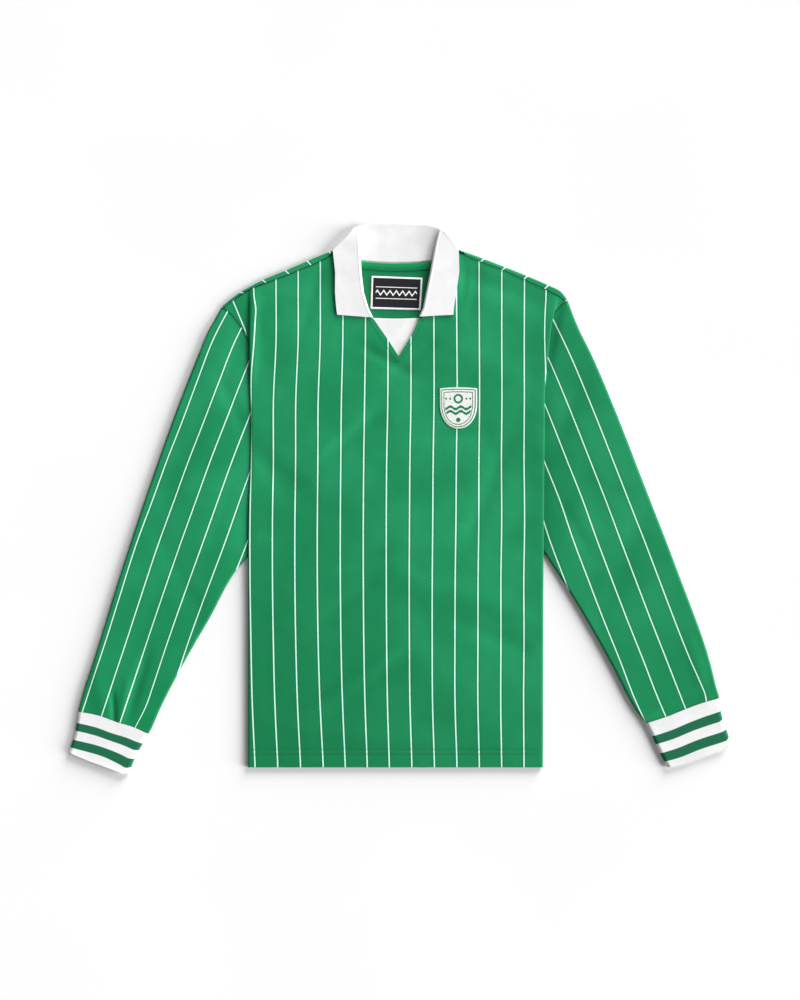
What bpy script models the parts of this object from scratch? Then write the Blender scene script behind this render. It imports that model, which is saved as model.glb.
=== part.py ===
"""A long-sleeved football shirt, laid flat on its back with the sleeves beside the body.

Each cut piece of cloth is a closed wall with its outer and inner faces worked out from the tables below.
The shirt lies on z = 0 and is seen from +Z. +Y runs from the hem to the collar and +X to the wearer's left.
The tables are in millimetres: x is measured from the centre line, y from the hem and z from the ground.
"""

from typing import NamedTuple

import bpy
import numpy as np

MM = 0.001  # metres in a millimetre

# Walls and gaps
CLOTH = 1.2  # striped jersey
RIB = 2.0  # flat-knit rib of the collar and the cuffs
TRIM = 1.0  # label, tape and badge
SEAM_GAP = 0.3  # between pieces that are sewn together
TURN_GAP = 0.5  # between the armhole edges, whose facets don't match
STRIP_GAP = 0.8  # between the back's shoulder strip and the front, for the same reason

# Heights of the laid cloth
FRONT_HEIGHT = 5.4  # outer face of the front in the middle of the body
NECK_HEIGHT = 5.2  # outer face of the front at the neck and shoulder seams
SHOULDER_END_HEIGHT = 3.9  # the same at the end of the shoulder seam
SLEEVE_HEIGHT = 6.2
ARMHOLE_HEIGHT = 3.4  # sleeve where it's pressed flat at the armhole
CUFF_HEIGHT = 6.8
OVER_SLEEVE = ARMHOLE_HEIGHT + SEAM_GAP  # underside of the front over the sleeve

# Middle of the whole shirt's plan, from the centre line and the hem, which becomes the origin
PLAN_CENTRE = (3.1, 382.7)

RIGHT, LEFT = "right", "left"  # the wearer's sides: the right one is at -X


class SideRow(NamedTuple):
    """The front's side folds at one height: x on each side, ground clearance and lift of the fold."""

    y: float
    right_x: float
    left_x: float
    base: float
    rise: float
    tuck: float


class NeckSection(NamedTuple):
    """One section of the collar: its seam, the line it turns over at, and its free edge."""

    seam: tuple
    fold: tuple
    edge: tuple
    crown: float  # how far the turn stands above the fold line


class Crease(NamedTuple):
    """A soft trough (negative depth) or ridge along a line."""

    x0: float
    y0: float
    x1: float
    y1: float
    width: float
    depth: float


SIDES = (
    SideRow(0.0, -212.6, 206.3, 0.0, 0.8, 6.0),
    SideRow(130.0, -212.6, 206.6, 0.0, 0.8, 6.0),
    SideRow(245.0, -212.6, 206.9, 0.0, 0.9, 6.0),
    SideRow(285.0, -212.6, 207.0, OVER_SLEEVE, 1.8, 2.4),
    SideRow(350.0, -212.2, 207.4, OVER_SLEEVE, 2.3, 1.9),
    SideRow(438.0, -208.8, 208.2, OVER_SLEEVE, 2.3, 1.9),
    SideRow(505.0, -208.4, 208.8, OVER_SLEEVE, 2.3, 1.9),
    SideRow(536.0, -209.8, 209.0, OVER_SLEEVE, 2.3, 1.9),
    SideRow(588.0, -210.9, 213.9, OVER_SLEEVE, 2.2, 1.9),
    SideRow(638.0, -211.1, 220.5, OVER_SLEEVE, 0.8, 1.9),
    SideRow(664.0, -211.2, 227.0, OVER_SLEEVE, 0.0, 1.9),
    SideRow(690.0, -211.2, 228.0, OVER_SLEEVE, 0.0, 1.9),
)

# Outlines, as x and y
ARMHOLE = {
    RIGHT: (
        (-250.3, 653.9),
        (-239.3, 646.4),
        (-229.0, 634.5),
        (-219.7, 621.0),
        (-209.8, 599.7),
        (-200.6, 571.3),
        (-194.2, 528.7),
        (-191.3, 479.0),
        (-191.3, 429.3),
        (-193.5, 379.6),
        (-198.4, 339.8),
        (-201.3, 315.7),
    ),
    LEFT: (
        (241.2, 663.6),
        (233.9, 659.3),
        (227.0, 652.5),
        (216.2, 636.0),
        (207.0, 613.9),
        (199.2, 578.4),
        (192.1, 528.7),
        (188.5, 479.0),
        (187.8, 429.3),
        (189.2, 379.6),
        (193.5, 344.1),
        (197.0, 321.3),
    ),
}
SLEEVE_OUTER = {
    RIGHT: (
        (-250.3, 653.9),
        (-258.1, 639.4),
        (-268.0, 622.4),
        (-282.2, 588.3),
        (-309.2, 520.1),
        (-346.1, 417.9),
        (-391.6, 281.6),
        (-434.2, 145.3),
        (-445.5, 111.2),
        (-450.5, 92.7),
        (-453.8, 79.4),
    ),
    LEFT: (
        (241.2, 663.6),
        (250.3, 639.4),
        (257.4, 622.4),
        (274.4, 588.3),
        (304.2, 520.1),
        (344.0, 417.9),
        (396.5, 281.6),
        (444.8, 145.3),
        (453.3, 111.2),
        (457.2, 98.8),
    ),
}
SLEEVE_INNER = {
    RIGHT: (
        (-201.3, 315.7),
        (-213.4, 299.3),
        (-228.3, 281.6),
        (-266.6, 213.4),
        (-305.7, 145.3),
        (-340.4, 77.1),
        (-348.3, 58.6),
        (-353.7, 47.7),
    ),
    LEFT: (
        (197.0, 321.3),
        (208.0, 304.7),
        (223.3, 281.6),
        (265.9, 213.4),
        (304.2, 145.3),
        (341.2, 77.1),
        (352.1, 62.6),
    ),
}
CUFF_SEAM = {
    RIGHT: ((-453.8, 79.4), (-436.2, 76.7), (-420.2, 72.7), (-402.6, 65.9), (-374.5, 57.2), (-353.7, 47.7)),
    LEFT: ((457.2, 98.8), (437.3, 93.4), (410.6, 83.9), (382.9, 72.7), (352.1, 62.6)),
}
CUFF_OUTER = {
    RIGHT: ((-453.8, 79.4), (-457.9, 51.8), (-465.1, 28.3), (-467.8, 21.7)),
    LEFT: ((457.2, 98.8), (459.0, 79.4), (466.7, 53.7), (474.1, 33.8)),
}
CUFF_INNER = {
    RIGHT: ((-353.7, 47.7), (-362.7, 32.8), (-375.5, 10.1), (-380.2, -6.0)),
    LEFT: ((352.1, 62.6), (361.2, 44.2), (372.5, 20.2), (383.2, -0.1)),
}
CUFF_END = {
    RIGHT: ((-467.8, 21.7), (-440.7, 10.1), (-416.3, 1.1), (-398.1, -5.7), (-380.2, -6.0)),
    LEFT: ((474.1, 33.8), (466.3, 27.4), (434.6, 15.6), (407.3, 4.7), (383.2, -0.1)),
}
# The seam at the top of the front: shoulder, neckline, V, neckline, shoulder
FRONT_TOP = {
    RIGHT: (
        (-246.0, 653.2),
        (-234.5, 662.2),
        (-223.0, 671.0),
        (-205.1, 680.6),
        (-170.9, 693.5),
        (-138.2, 706.6),
        (-107.3, 719.6),
        (-91.0, 728.6),
    ),
    LEFT: (
        (236.6, 662.4),
        (229.8, 667.5),
        (210.2, 678.0),
        (180.1, 691.9),
        (148.3, 706.1),
        (117.4, 717.5),
        (90.0, 729.2),
    ),
}
FRONT_NECK = {
    RIGHT: (
        (-84.0, 727.2),
        (-76.2, 722.5),
        (-68.6, 703.0),
        (-64.5, 688.0),
        (-59.5, 673.0),
        (-54.0, 661.5),
        (-48.6, 650.8),
        (-42.9, 640.8),
    ),
    LEFT: (
        (83.0, 728.0),
        (75.6, 722.5),
        (67.8, 703.0),
        (63.5, 688.0),
        (58.0, 673.0),
        (52.0, 661.5),
        (45.2, 650.8),
        (38.2, 640.8),
    ),
}
V_EDGE = {
    RIGHT: ((-34.5, 637.0), (-24.5, 622.5), (-14.3, 607.9), (-6.0, 595.0)),
    LEFT: ((30.4, 637.0), (26.6, 627.5), (21.7, 617.4), (11.0, 599.5)),
}
V_TIP = (1.3, 583.5)
# The folded top edge of the back and the seam that it reaches on the front side
SHOULDER_EDGE = {
    RIGHT: (
        (-249.4, 655.2),
        (-242.6, 660.9),
        (-223.0, 675.4),
        (-207.5, 684.2),
        (-191.3, 692.5),
        (-158.7, 706.0),
        (-127.7, 719.4),
        (-110.5, 726.8),
        (-99.5, 731.2),
    ),
    LEFT: (
        (240.6, 665.2),
        (231.4, 676.2),
        (215.2, 684.3),
        (185.0, 697.4),
        (154.0, 710.0),
        (123.0, 721.9),
        (104.5, 728.8),
        (98.0, 731.0),
    ),
}
BACK_NECK = {
    RIGHT: ((-94.2, 733.3), (-88.0, 734.6), (-81.0, 729.8), (-72.0, 724.4), (-62.1, 720.0), (-47.9, 717.1), (-28.0, 716.3)),
    LEFT: ((92.4, 733.2), (86.8, 734.7), (79.5, 730.6), (72.0, 724.4), (61.4, 720.0), (47.2, 717.1), (27.3, 716.3)),
}
BACK_NECK_MIDDLE = (0.0, 715.7)

COLLAR_BACK = NeckSection((0.0, 716.6, 1.2), (0.0, 744.0, 1.6), (0.0, 771.5, 2.6), 0.0)
COLLAR = {
    RIGHT: (
        NeckSection((-28.0, 717.2, 1.2), (-28.0, 744.2, 1.6), (-28.0, 771.5, 2.6), 0.0),
        NeckSection((-47.9, 718.2, 1.2), (-50.5, 745.0, 1.6), (-50.8, 771.1, 2.8), 0.0),
        NeckSection((-66.0, 723.4, 1.2), (-60.0, 747.0, 1.6), (-56.0, 768.9, 2.4), 0.0),
        NeckSection((-82.5, 732.8, 1.3), (-69.5, 749.0, 1.7), (-57.8, 767.8, 2.5), 0.0),
        NeckSection((-87.0, 735.2, 1.7), (-74.2, 750.2, 2.1), (-59.2, 767.4, 3.8), 0.0),
        NeckSection((-88.4, 736.4, 2.9), (-75.2, 750.9, 3.5), (-60.4, 766.6, 5.0), 0.0),
        NeckSection((-87.0, 734.8, 4.2), (-73.4, 749.8, 4.8), (-61.9, 764.9, 6.4), 0.0),
        NeckSection((-84.6, 732.4, 4.5), (-65.4, 755.2, 5.4), (-67.4, 760.6, 7.2), 0.0),
        NeckSection((-82.0, 729.8, 4.6), (-57.4, 755.8, 6.9), (-70.0, 756.4, 9.0), 1.7),
        NeckSection((-78.9, 726.6, 4.6), (-54.9, 745.0, 6.8), (-77.5, 748.5, 8.4), 1.6),
        NeckSection((-75.2, 721.6, 4.6), (-54.0, 733.0, 6.6), (-92.2, 734.3, 7.5), 1.5),
        NeckSection((-67.1, 703.3, 4.6), (-52.3, 700.5, 6.6), (-88.8, 703.0, 7.1), 1.5),
        NeckSection((-57.9, 673.5, 4.6), (-48.9, 673.1, 6.6), (-89.0, 673.5, 7.1), 1.5),
        NeckSection((-46.5, 651.5, 4.6), (-42.2, 651.0, 6.5), (-87.8, 655.0, 7.1), 1.3),
        NeckSection((-41.6, 640.6, 4.7), (-36.3, 639.4, 6.2), (-86.3, 645.2, 7.1), 1.0),
    ),
    LEFT: (
        NeckSection((27.3, 717.2, 1.2), (27.3, 744.0, 1.6), (27.3, 771.0, 2.6), 0.0),
        NeckSection((47.2, 718.2, 1.2), (50.0, 743.5, 1.6), (51.5, 768.6, 2.8), 0.0),
        NeckSection((65.0, 723.4, 1.2), (60.0, 745.0, 1.6), (58.0, 766.0, 2.4), 0.0),
        NeckSection((80.4, 732.8, 1.3), (69.0, 748.0, 1.7), (60.4, 765.0, 2.5), 0.0),
        NeckSection((84.6, 735.4, 1.7), (73.6, 749.2, 2.1), (62.2, 764.6, 3.8), 0.0),
        NeckSection((86.0, 736.6, 2.9), (74.6, 749.9, 3.5), (63.6, 763.6, 5.0), 0.0),
        NeckSection((84.6, 735.0, 4.2), (72.8, 748.8, 4.8), (65.2, 762.0, 6.4), 0.0),
        NeckSection((82.4, 732.6, 4.5), (65.0, 753.6, 5.4), (66.2, 760.0, 7.6), 0.0),
        NeckSection((80.0, 730.0, 4.6), (57.4, 755.8, 6.8), (70.0, 756.4, 8.6), 1.4),
        NeckSection((77.6, 726.8, 4.6), (54.6, 745.5, 6.6), (77.5, 748.5, 8.1), 1.4),
        NeckSection((74.4, 721.6, 4.6), (51.5, 730.0, 6.6), (86.6, 733.6, 7.5), 1.5),
        NeckSection((66.4, 703.3, 4.6), (46.2, 700.3, 6.6), (87.3, 703.0, 7.1), 1.5),
        NeckSection((56.4, 673.5, 4.6), (40.7, 673.1, 6.6), (83.0, 673.5, 7.1), 1.5),
        NeckSection((43.0, 651.5, 4.6), (36.6, 652.0, 6.5), (79.6, 655.0, 7.1), 1.3),
        NeckSection((37.2, 640.6, 4.7), (31.3, 640.2, 6.4), (77.3, 645.2, 7.1), 1.2),
    ),
}

CREASES = (
    Crease(-95.0, 108.0, -18.0, 152.0, 11.0, 0.7),
    Crease(-80.0, 92.0, -20.0, 122.0, 13.0, -0.9),
    Crease(-190.0, 425.0, -160.0, 392.0, 22.0, -0.8),
    Crease(-88.0, 450.0, -40.0, 486.0, 11.0, -0.6),
    Crease(105.0, 345.0, 150.0, 440.0, 20.0, -0.6),
    Crease(-190.0, 688.0, -120.0, 690.0, 14.0, -0.5),
    Crease(110.0, 686.0, 190.0, 680.0, 14.0, -0.5),
    Crease(-30.0, 560.0, 30.0, 560.0, 14.0, -0.5),
    Crease(-60.0, 230.0, 90.0, 300.0, 30.0, -0.6),
)

# Small pieces, as x and y
LABEL_CORNERS = ((-37.4, 698.2), (35.3, 695.5), (32.6, 649.4), (-38.7, 651.4))
TAPE_UPPER = ((-60.0, 719.3), (-47.0, 716.6), (-28.0, 715.8), (0.0, 715.2), (27.0, 715.8), (47.0, 716.6), (59.5, 719.3))
TAPE_DEPTH = 10.5
INSERT_TOP = 639.0
INSERT_HALF_TOP = 41.0
INSERT_TIP_Y = 572.0
INSERT_LEVEL = 2.4
BADGE_CENTRE = (86.1, 509.5)
BADGE_WIDTH = 53.0
BADGE_HEIGHT = 57.0

# How the walls are divided
ACROSS = np.array([0, 0.015, 0.05, 0.12, 0.24, 0.38, 0.52, 0.66, 0.78, 0.88, 0.95, 0.985, 1])
SLEEVE_STATIONS = np.array([0, 0.04, 0.1, 0.17, 0.25, 0.33, 0.42, 0.51, 0.6, 0.69, 0.78, 0.86, 0.93, 0.975, 1])
CUFF_STATIONS = np.array([0, 0.12, 0.36, 0.64, 0.88, 1])
FRONT_ROWS = (0, 8, 45, 90, 130, 180, 220, 250, 270, 290, 320, 360, 405, 450, 495, 535, 570, 604, 626, 648, 664)
COLLAR_STEP = 15.0  # longest distance between two sections of the collar

# The front's tuck at each armhole: rows above `down` reach out to the armhole, at that share of its length
TUCK_DOWN = {RIGHT: 604, LEFT: 648}
TUCK_REACH = {RIGHT: {626: 0.12, 648: 0.05, 664: 0.015}, LEFT: {664: 0.02}}

# Paths across a side fold, from its hidden end to the face: distance from the fold line (or share of the tuck),
# height as a share from base to top, and how far in the inner face stands, in wall thicknesses
HIDDEN_SHARE = np.array([1.0, 0.5, 0.18])
FACE_REACH = np.array([0.0, 0.8, 2.8, 7.0, 13.0])
UNDER_LEVEL, UNDER_SHIFT = np.array([0, 0, 0.14, 0.45, 0.76, 0.92, 0.99, 1]), np.array([0, 0.5, 0.85, 1, 0.7, 0.2, 0, 0])
DOWN_LEVEL, DOWN_SHIFT = np.array([0, 0.12, 0.28, 0.45, 0.76, 0.92, 0.99, 1]), np.array([1, 1, 1, 1, 0.75, 0.25, 0, 0])
STEP_LEVEL, STEP_SHIFT = np.array([0, 0, 0.05, 0.4, 0.72, 0.9, 0.98, 1]), np.array([0, 0, 0.5, 1, 0.9, 0.4, 0, 0])
RAMP_LEVEL = np.array([0, 0.2, 0.4, 0.5, 0.55, 0.65, 0.8, 1.0])

# Path over the shoulder's fold: how far the cloth has turned at each row, and the last rows' share of the strip
ROLL_TURN = np.radians([0.0, 50.0, 90.0, 130.0, 180.0, 180.0])
ROLL_RISE = 2.05  # height of the whole turn, in radii
FLAT_STEP = 1.0  # distance between those rows where the cloth lies flat
NECK_TURN = (0.7, 0.4, 0.15, 0.0, 0.0, 0.0, 0.0)  # share of the turn that is left at each row of BACK_NECK


def along(rows, at):
    """Points at shares of the length of a smooth curve through a table's rows."""
    points = np.array(rows, float)
    steps = np.linalg.norm(np.diff(points, axis=0), axis=1)
    length = np.concatenate([[0], np.cumsum(steps)])
    return smooth(length, points, np.asarray(at, float) * length[-1])


def through(points, places):
    """Points of a smooth curve through the given ones, at places counted in points."""
    steps = np.linalg.norm(np.diff(points, axis=0), axis=1)
    length = np.concatenate([[0], np.cumsum(steps)])
    return smooth(length, points, np.interp(places, np.arange(len(points)), length))


def smooth(known, values, wanted):
    """Cubic interpolation that passes through the values at the known, rising places."""
    known, values = np.asarray(known, float), np.asarray(values, float)
    wanted = np.atleast_1d(np.asarray(wanted, float))
    if values.ndim == 1:
        return smooth(known, values[:, None], wanted)[:, 0]
    slope = np.gradient(values, known, axis=0)
    i = np.clip(np.searchsorted(known, wanted, side="right") - 1, 0, len(known) - 2)
    span = (known[i + 1] - known[i])[:, None]
    s = (wanted - known[i])[:, None] / span
    start, end = values[i], values[i + 1]
    return (
        (2 * s**3 - 3 * s**2 + 1) * start
        + (s**3 - 2 * s**2 + s) * span * slope[i]
        + (3 * s**2 - 2 * s**3) * end
        + (s**3 - s**2) * span * slope[i + 1]
    )


def ease(x):
    """A soft step from 0 to 1 as x goes from 0 to 1."""
    x = np.clip(x, 0.0, 1.0)
    return x * x * (3 - 2 * x)


def side_value(name, y):
    """A column of the side table at the heights y."""
    known = [row.y for row in SIDES]
    return np.interp(y, known, [getattr(row, name) for row in SIDES])


def fold_x(side, y):
    """Where the front's side fold runs at the heights y."""
    known = [row.y for row in SIDES]
    y = np.asarray(y, float)
    return smooth(known, [getattr(row, side + "_x") for row in SIDES], y.ravel()).reshape(y.shape)


def distance_to(points, rows):
    """Distance of each point (x, y) from the line through a table's rows."""
    line = np.array(rows, float)
    start, step = line[:-1], np.diff(line, axis=0)
    gap = points[..., None, :] - start
    share = np.clip((gap * step).sum(-1) / (step**2).sum(-1), 0, 1)
    return np.linalg.norm(gap - share[..., None] * step, axis=-1).min(-1)


def creases_at(x, y):
    """Sum of the soft troughs and ridges at x, y."""
    total = np.zeros(np.broadcast(x, y).shape)
    for c in CREASES:
        dx, dy = c.x1 - c.x0, c.y1 - c.y0
        length = np.hypot(dx, dy)
        share = ((x - c.x0) * dx + (y - c.y0) * dy) / length**2
        off = ((x - c.x0) * dy - (y - c.y0) * dx) / length
        beyond = np.maximum(np.maximum(-share, share - 1), 0) * length
        total = total + c.depth * np.exp(-((off / c.width) ** 2) - (beyond / (1.5 * c.width)) ** 2)
    return total


def front_height(x, y):
    """Outer face of the front: level, lower at the shoulders and lifted along the side folds."""
    right_gap = x - fold_x(RIGHT, y)
    left_gap = fold_x(LEFT, y) - x
    lift = side_value("rise", y) * (np.exp(-((right_gap / 16) ** 2)) + np.exp(-((left_gap / 16) ** 2)))
    shoulder = ease((y - 600) / 60)
    drop = (FRONT_HEIGHT - NECK_HEIGHT) * shoulder
    out = np.minimum(right_gap, left_gap)
    drop = drop + (NECK_HEIGHT - SHOULDER_END_HEIGHT) * shoulder * (1 - ease((out + 40) / 60))
    return FRONT_HEIGHT - drop + lift + creases_at(x, y)


def coons(low, high, start, end, across, up):
    """Grid of points between four boundary curves: low and high run across, start and end run up."""
    s, t = across[None, :, None], up[:, None, None]
    ruled_across = (1 - s) * start[:, None, :] + s * end[:, None, :]
    ruled_up = (1 - t) * low[None] + t * high[None]
    corners = (1 - t) * ((1 - s) * low[0] + s * low[-1]) + t * ((1 - s) * high[0] + s * high[-1])
    return ruled_across + ruled_up - corners


def face_normals(grid):
    """Unit normals of a grid of points, from the steps along its rows and columns."""
    n = np.cross(np.gradient(grid, axis=1), np.gradient(grid, axis=0))
    return n / np.linalg.norm(n, axis=-1, keepdims=True)


def grid_faces(rows, columns, offset=0, closed=False):
    """Four-sided faces over a grid whose points are numbered row by row."""
    faces = []
    for j in range(rows - 1):
        for i in range(columns if closed else columns - 1):
            k = (i + 1) % columns
            faces.append([offset + j * columns + i, offset + j * columns + k, offset + (j + 1) * columns + k,
                          offset + (j + 1) * columns + i])
    return faces


def wall(name, outer, inner, colour, roughness, closed=False):
    """A closed wall between two grids. A closed one is a tube, which stays open at both ends."""
    rows, columns = outer.shape[:2]
    count = rows * columns
    faces = grid_faces(rows, columns, 0, closed)
    faces += [face[::-1] for face in grid_faces(rows, columns, count, closed)]
    for i in range(columns if closed else columns - 1):
        k = (i + 1) % columns
        top = (rows - 1) * columns
        faces.append([k, i, count + i, count + k])
        faces.append([top + i, top + k, count + top + k, count + top + i])
    if not closed:
        for j in range(rows - 1):
            low, high = j * columns, (j + 1) * columns
            last = columns - 1
            faces.append([low, high, count + high, count + low])
            faces.append([high + last, low + last, count + low + last, count + high + last])
    points = np.concatenate([outer.reshape(-1, 3), inner.reshape(-1, 3)])
    return solid(name, points, faces, colour, roughness)


def solid(name, points, faces, colour, roughness):
    """A mesh object from points in millimetres, with its faces turned outwards and its own material."""
    points = (points - np.array([*PLAN_CENTRE, 0.0])) * MM
    if signed_volume(points, faces) < 0:
        faces = [face[::-1] for face in faces]
    mesh = bpy.data.meshes.new(name)
    mesh.from_pydata(points.tolist(), [], faces)
    mesh.update()
    mesh.shade_smooth()
    mesh.set_sharp_from_angle(angle=np.radians(50))
    material = bpy.data.materials.new(name)
    material.use_nodes = True
    shader = material.node_tree.nodes["Principled BSDF"]
    shader.inputs["Base Color"].default_value = (*colour, 1.0)
    shader.inputs["Roughness"].default_value = roughness
    shader.inputs["Metallic"].default_value = 0.0
    mesh.materials.append(material)
    made = bpy.data.objects.new(name, mesh)
    bpy.context.scene.collection.objects.link(made)
    return made


def signed_volume(points, faces):
    """Volume inside a closed mesh, negative where its faces point inwards."""
    total = 0.0
    for face in faces:
        for i in range(1, len(face) - 1):
            total += np.dot(points[face[0]], np.cross(points[face[i]], points[face[i + 1]]))
    return total / 6


GREEN = (0.02, 0.32, 0.12)
TAPE_GREEN = (0.01, 0.36, 0.1)
WHITE = (0.88, 0.88, 0.87)
BLACK = (0.03, 0.028, 0.035)


def front():
    """The front panel: flat in the middle, turned under at the sides, with a V neck and an armhole tuck."""
    heights = np.array(FRONT_ROWS, float)
    paths, bounds = {}, {}
    for side, sign in ((RIGHT, 1), (LEFT, -1)):
        paths[side] = side_path(side, sign, heights)
        bounds[side] = paths[side][0][:, -1, :2]
    first, last = bounds[RIGHT][-1], bounds[LEFT][-1]
    right_top = [row for row in FRONT_TOP[RIGHT] if row[0] > first[0] + 8] + [*FRONT_NECK[RIGHT], *V_EDGE[RIGHT]]
    left_top = [row for row in FRONT_TOP[LEFT] if row[0] < last[0] - 8] + [*FRONT_NECK[LEFT], *V_EDGE[LEFT]]
    top = np.vstack([first, right_top, V_TIP, left_top[::-1], last])
    share = (top[:, 0] - first[0]) / (last[0] - first[0])
    low = bounds[RIGHT][0] + share[:, None] * (bounds[LEFT][0] - bounds[RIGHT][0])
    up = bounds[RIGHT][:, 1] / first[1]
    plan = coons(low, top, bounds[RIGHT], bounds[LEFT], share, up)[:, 1:-1]
    face = np.dstack([plan, front_height(plan[..., 0], plan[..., 1])])
    outer = np.concatenate([paths[RIGHT][0], face, paths[LEFT][0][:, ::-1]], axis=1)
    inner = np.concatenate([paths[RIGHT][1], face - (0, 0, CLOTH), paths[LEFT][1][:, ::-1]], axis=1)
    return wall("front", outer, inner, GREEN, 0.75)


def side_path(side, sign, heights):
    """The front's columns round its side fold, from the hidden end to the face: outer and inner points."""
    outer, inner = [], []
    for y in [*heights, None]:
        line = float(fold_x(side, 690.0 if y is None else y))
        if y is None:
            end = np.array(FRONT_TOP[side][0])
        elif y in TUCK_REACH[side]:
            end = beside_armhole(side, sign, [TUCK_REACH[side][y]])[0]
        else:
            end = None
        base = float(side_value("base", 690.0 if y is None else y))
        if end is None:
            tuck = 0.0 if y == TUCK_DOWN[side] else float(side_value("tuck", y))
            reach = np.concatenate([tuck * HIDDEN_SHARE, FACE_REACH])
            x = line + sign * reach
            row_y = np.full(len(x), float(y))
            level, shift, turn = (DOWN_LEVEL, DOWN_SHIFT, 0.0) if tuck == 0 else (UNDER_LEVEL, UNDER_SHIFT, 1.0)
        else:
            share = np.array([0.0, 0.4, 0.8])
            crisp = 0.0 if y is None else float(ease((664 - y) / 50))
            x = np.concatenate([end[0] + share * (line - end[0]), line + sign * FACE_REACH])
            if y is None:
                rows = np.array(sorted(FRONT_TOP[side]))
                row_y = np.interp(x, rows[:, 0], rows[:, 1])
            else:
                row_y = np.concatenate([end[1] + share * (y - end[1]), np.full(len(FACE_REACH), float(y))])
            level, shift, turn = crisp * STEP_LEVEL + (1 - crisp) * RAMP_LEVEL, crisp * STEP_SHIFT, -1.0
        top = front_height(x, row_y)
        z = base + level * (top - base)
        z_in = base + turn * CLOTH + level * (top - base - (1 + turn) * CLOTH)
        outer.append(np.column_stack([x, row_y, z]))
        inner.append(np.column_stack([x + sign * shift * CLOTH, row_y, z_in]))
    return np.array(outer), np.array(inner)


def back():
    """The back panel: flat on the ground, with its shoulders rolled over the top edge to the front seam."""
    left_points, right_points = (back_side(side, sign) for side, sign in ((RIGHT, 1), (LEFT, -1)))
    top = []
    for side in (RIGHT, LEFT):
        edge = [(x, y, 1.0) for x, y in SHOULDER_EDGE[side]]
        neck = [(*point, turn) for point, turn in zip(BACK_NECK[side], NECK_TURN)]
        top.append(np.array(edge + neck))
    rim = np.vstack([top[0], [(*BACK_NECK_MIDDLE, 0.0)], top[1][::-1]])
    share = (rim[:, 0] - rim[0, 0]) / (rim[-1, 0] - rim[0, 0])
    tangent = np.gradient(rim[:, :2], axis=0)
    outward = np.stack([-tangent[:, 1], tangent[:, 0]], axis=1)
    outward /= np.linalg.norm(outward, axis=1, keepdims=True)
    height = np.interp(np.abs(rim[:, 0]), [150, 250], [NECK_HEIGHT, SHOULDER_END_HEIGHT])
    strip = np.linalg.norm(rim[:, :2] - shoulder_seam(rim), axis=1) - STRIP_GAP
    reach, z, angle = rolled(rim[:, 2], height, strip)
    roll = over_edge(rim, outward, reach, z)
    roll_in = over_edge(rim, outward, reach + CLOTH * np.sin(angle), z + CLOTH * np.cos(angle))
    left_points[-1], right_points[-1] = roll[0, 0, :2], roll[0, -1, :2]
    low = left_points[0] + share[:, None] * (right_points[0] - left_points[0])
    up = (left_points[:, 1] - left_points[0, 1]) / (left_points[-1, 1] - left_points[0, 1])
    plan = coons(low, roll[0, :, :2], left_points, right_points, share, up)
    ground = np.dstack([plan, np.zeros(plan.shape[:2])])
    outer = np.concatenate([ground[:-1], roll])
    inner = np.concatenate([ground[:-1] + (0, 0, CLOTH), roll_in])
    return wall("back", outer, inner, GREEN, 0.75)


def rolled(turn, height, strip):
    """Paths over an edge: distance in from it, height and angle turned, one row for each rim point."""
    angle = turn[:, None] * ROLL_TURN
    bend = np.diff(ROLL_TURN) * (height / ROLL_RISE)[:, None]
    step = turn[:, None] * bend + (1 - turn)[:, None] * FLAT_STEP
    middle = 0.5 * (angle[:, 1:] + angle[:, :-1])
    out = np.pad(np.cumsum(step * np.cos(middle), axis=1), ((0, 0), (1, 0)))
    z = np.pad(np.cumsum(step * np.sin(middle), axis=1), ((0, 0), (1, 0)))
    reach = out.max(axis=1, keepdims=True) - out
    reach[:, -1] = np.where(turn == 1, np.maximum(strip, reach[:, -2] + 0.5), reach[:, -1])
    return reach, z, angle


def over_edge(rim, outward, reach, z):
    """Rows of points at distances in from a rim, with their heights: one row for each column of reach."""
    plan = rim[:, None, :2] - outward[:, None] * reach[..., None]
    return np.dstack([plan, z]).transpose(1, 0, 2)


def back_side(side, sign):
    """Edge points of the back from the hem to the end of the shoulder, clear of the sleeve."""
    x = fold_x(side, 0.0) + sign * (side_value("tuck", 0.0) + SEAM_GAP)
    straight = [(float(x), y) for y in (1.0, 60.0, 120.0, 180.0, 235.0, 285.0)]
    return np.vstack([straight, beside_armhole(side, sign, ACROSS[::-1])])


def beside_armhole(side, sign, at):
    """Points at shares of the armhole's length, moved into the body by the gap of that seam."""
    at = np.asarray(at, float)
    step = along(ARMHOLE[side], np.minimum(at + 0.01, 1)) - along(ARMHOLE[side], np.maximum(at - 0.01, 0))
    inward = sign * np.stack([-step[:, 1], step[:, 0]], axis=1)
    return along(ARMHOLE[side], at) + TURN_GAP * inward / np.linalg.norm(inward, axis=1, keepdims=True)


def shoulder_seam(rim):
    """The point of the front's top seam nearest to each rim point."""
    nearest = []
    for x, y, _ in rim:
        rows = np.array(FRONT_TOP[RIGHT if x < 0 else LEFT])
        at = np.linspace(0, len(rows) - 1, 300)
        fine = np.stack([np.interp(at, np.arange(len(rows)), column) for column in rows.T], axis=1)
        nearest.append(fine[np.argmin(np.hypot(fine[:, 0] - x, fine[:, 1] - y))])
    return np.array(nearest)


def rounded_top(gap, reach):
    """Height of a tube's upper face as a share of its full height, at a distance from its edge."""
    s = np.clip(gap / reach, 0, 1)
    return 0.45 + 0.55 * (1 - (1 - s) ** 2.2) ** 0.55


def rounded_bottom(gap):
    """The same for its underside, which soon lies flat."""
    return 0.45 * (1 - np.clip(gap / 3.2, 0, 1)) ** 2


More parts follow.
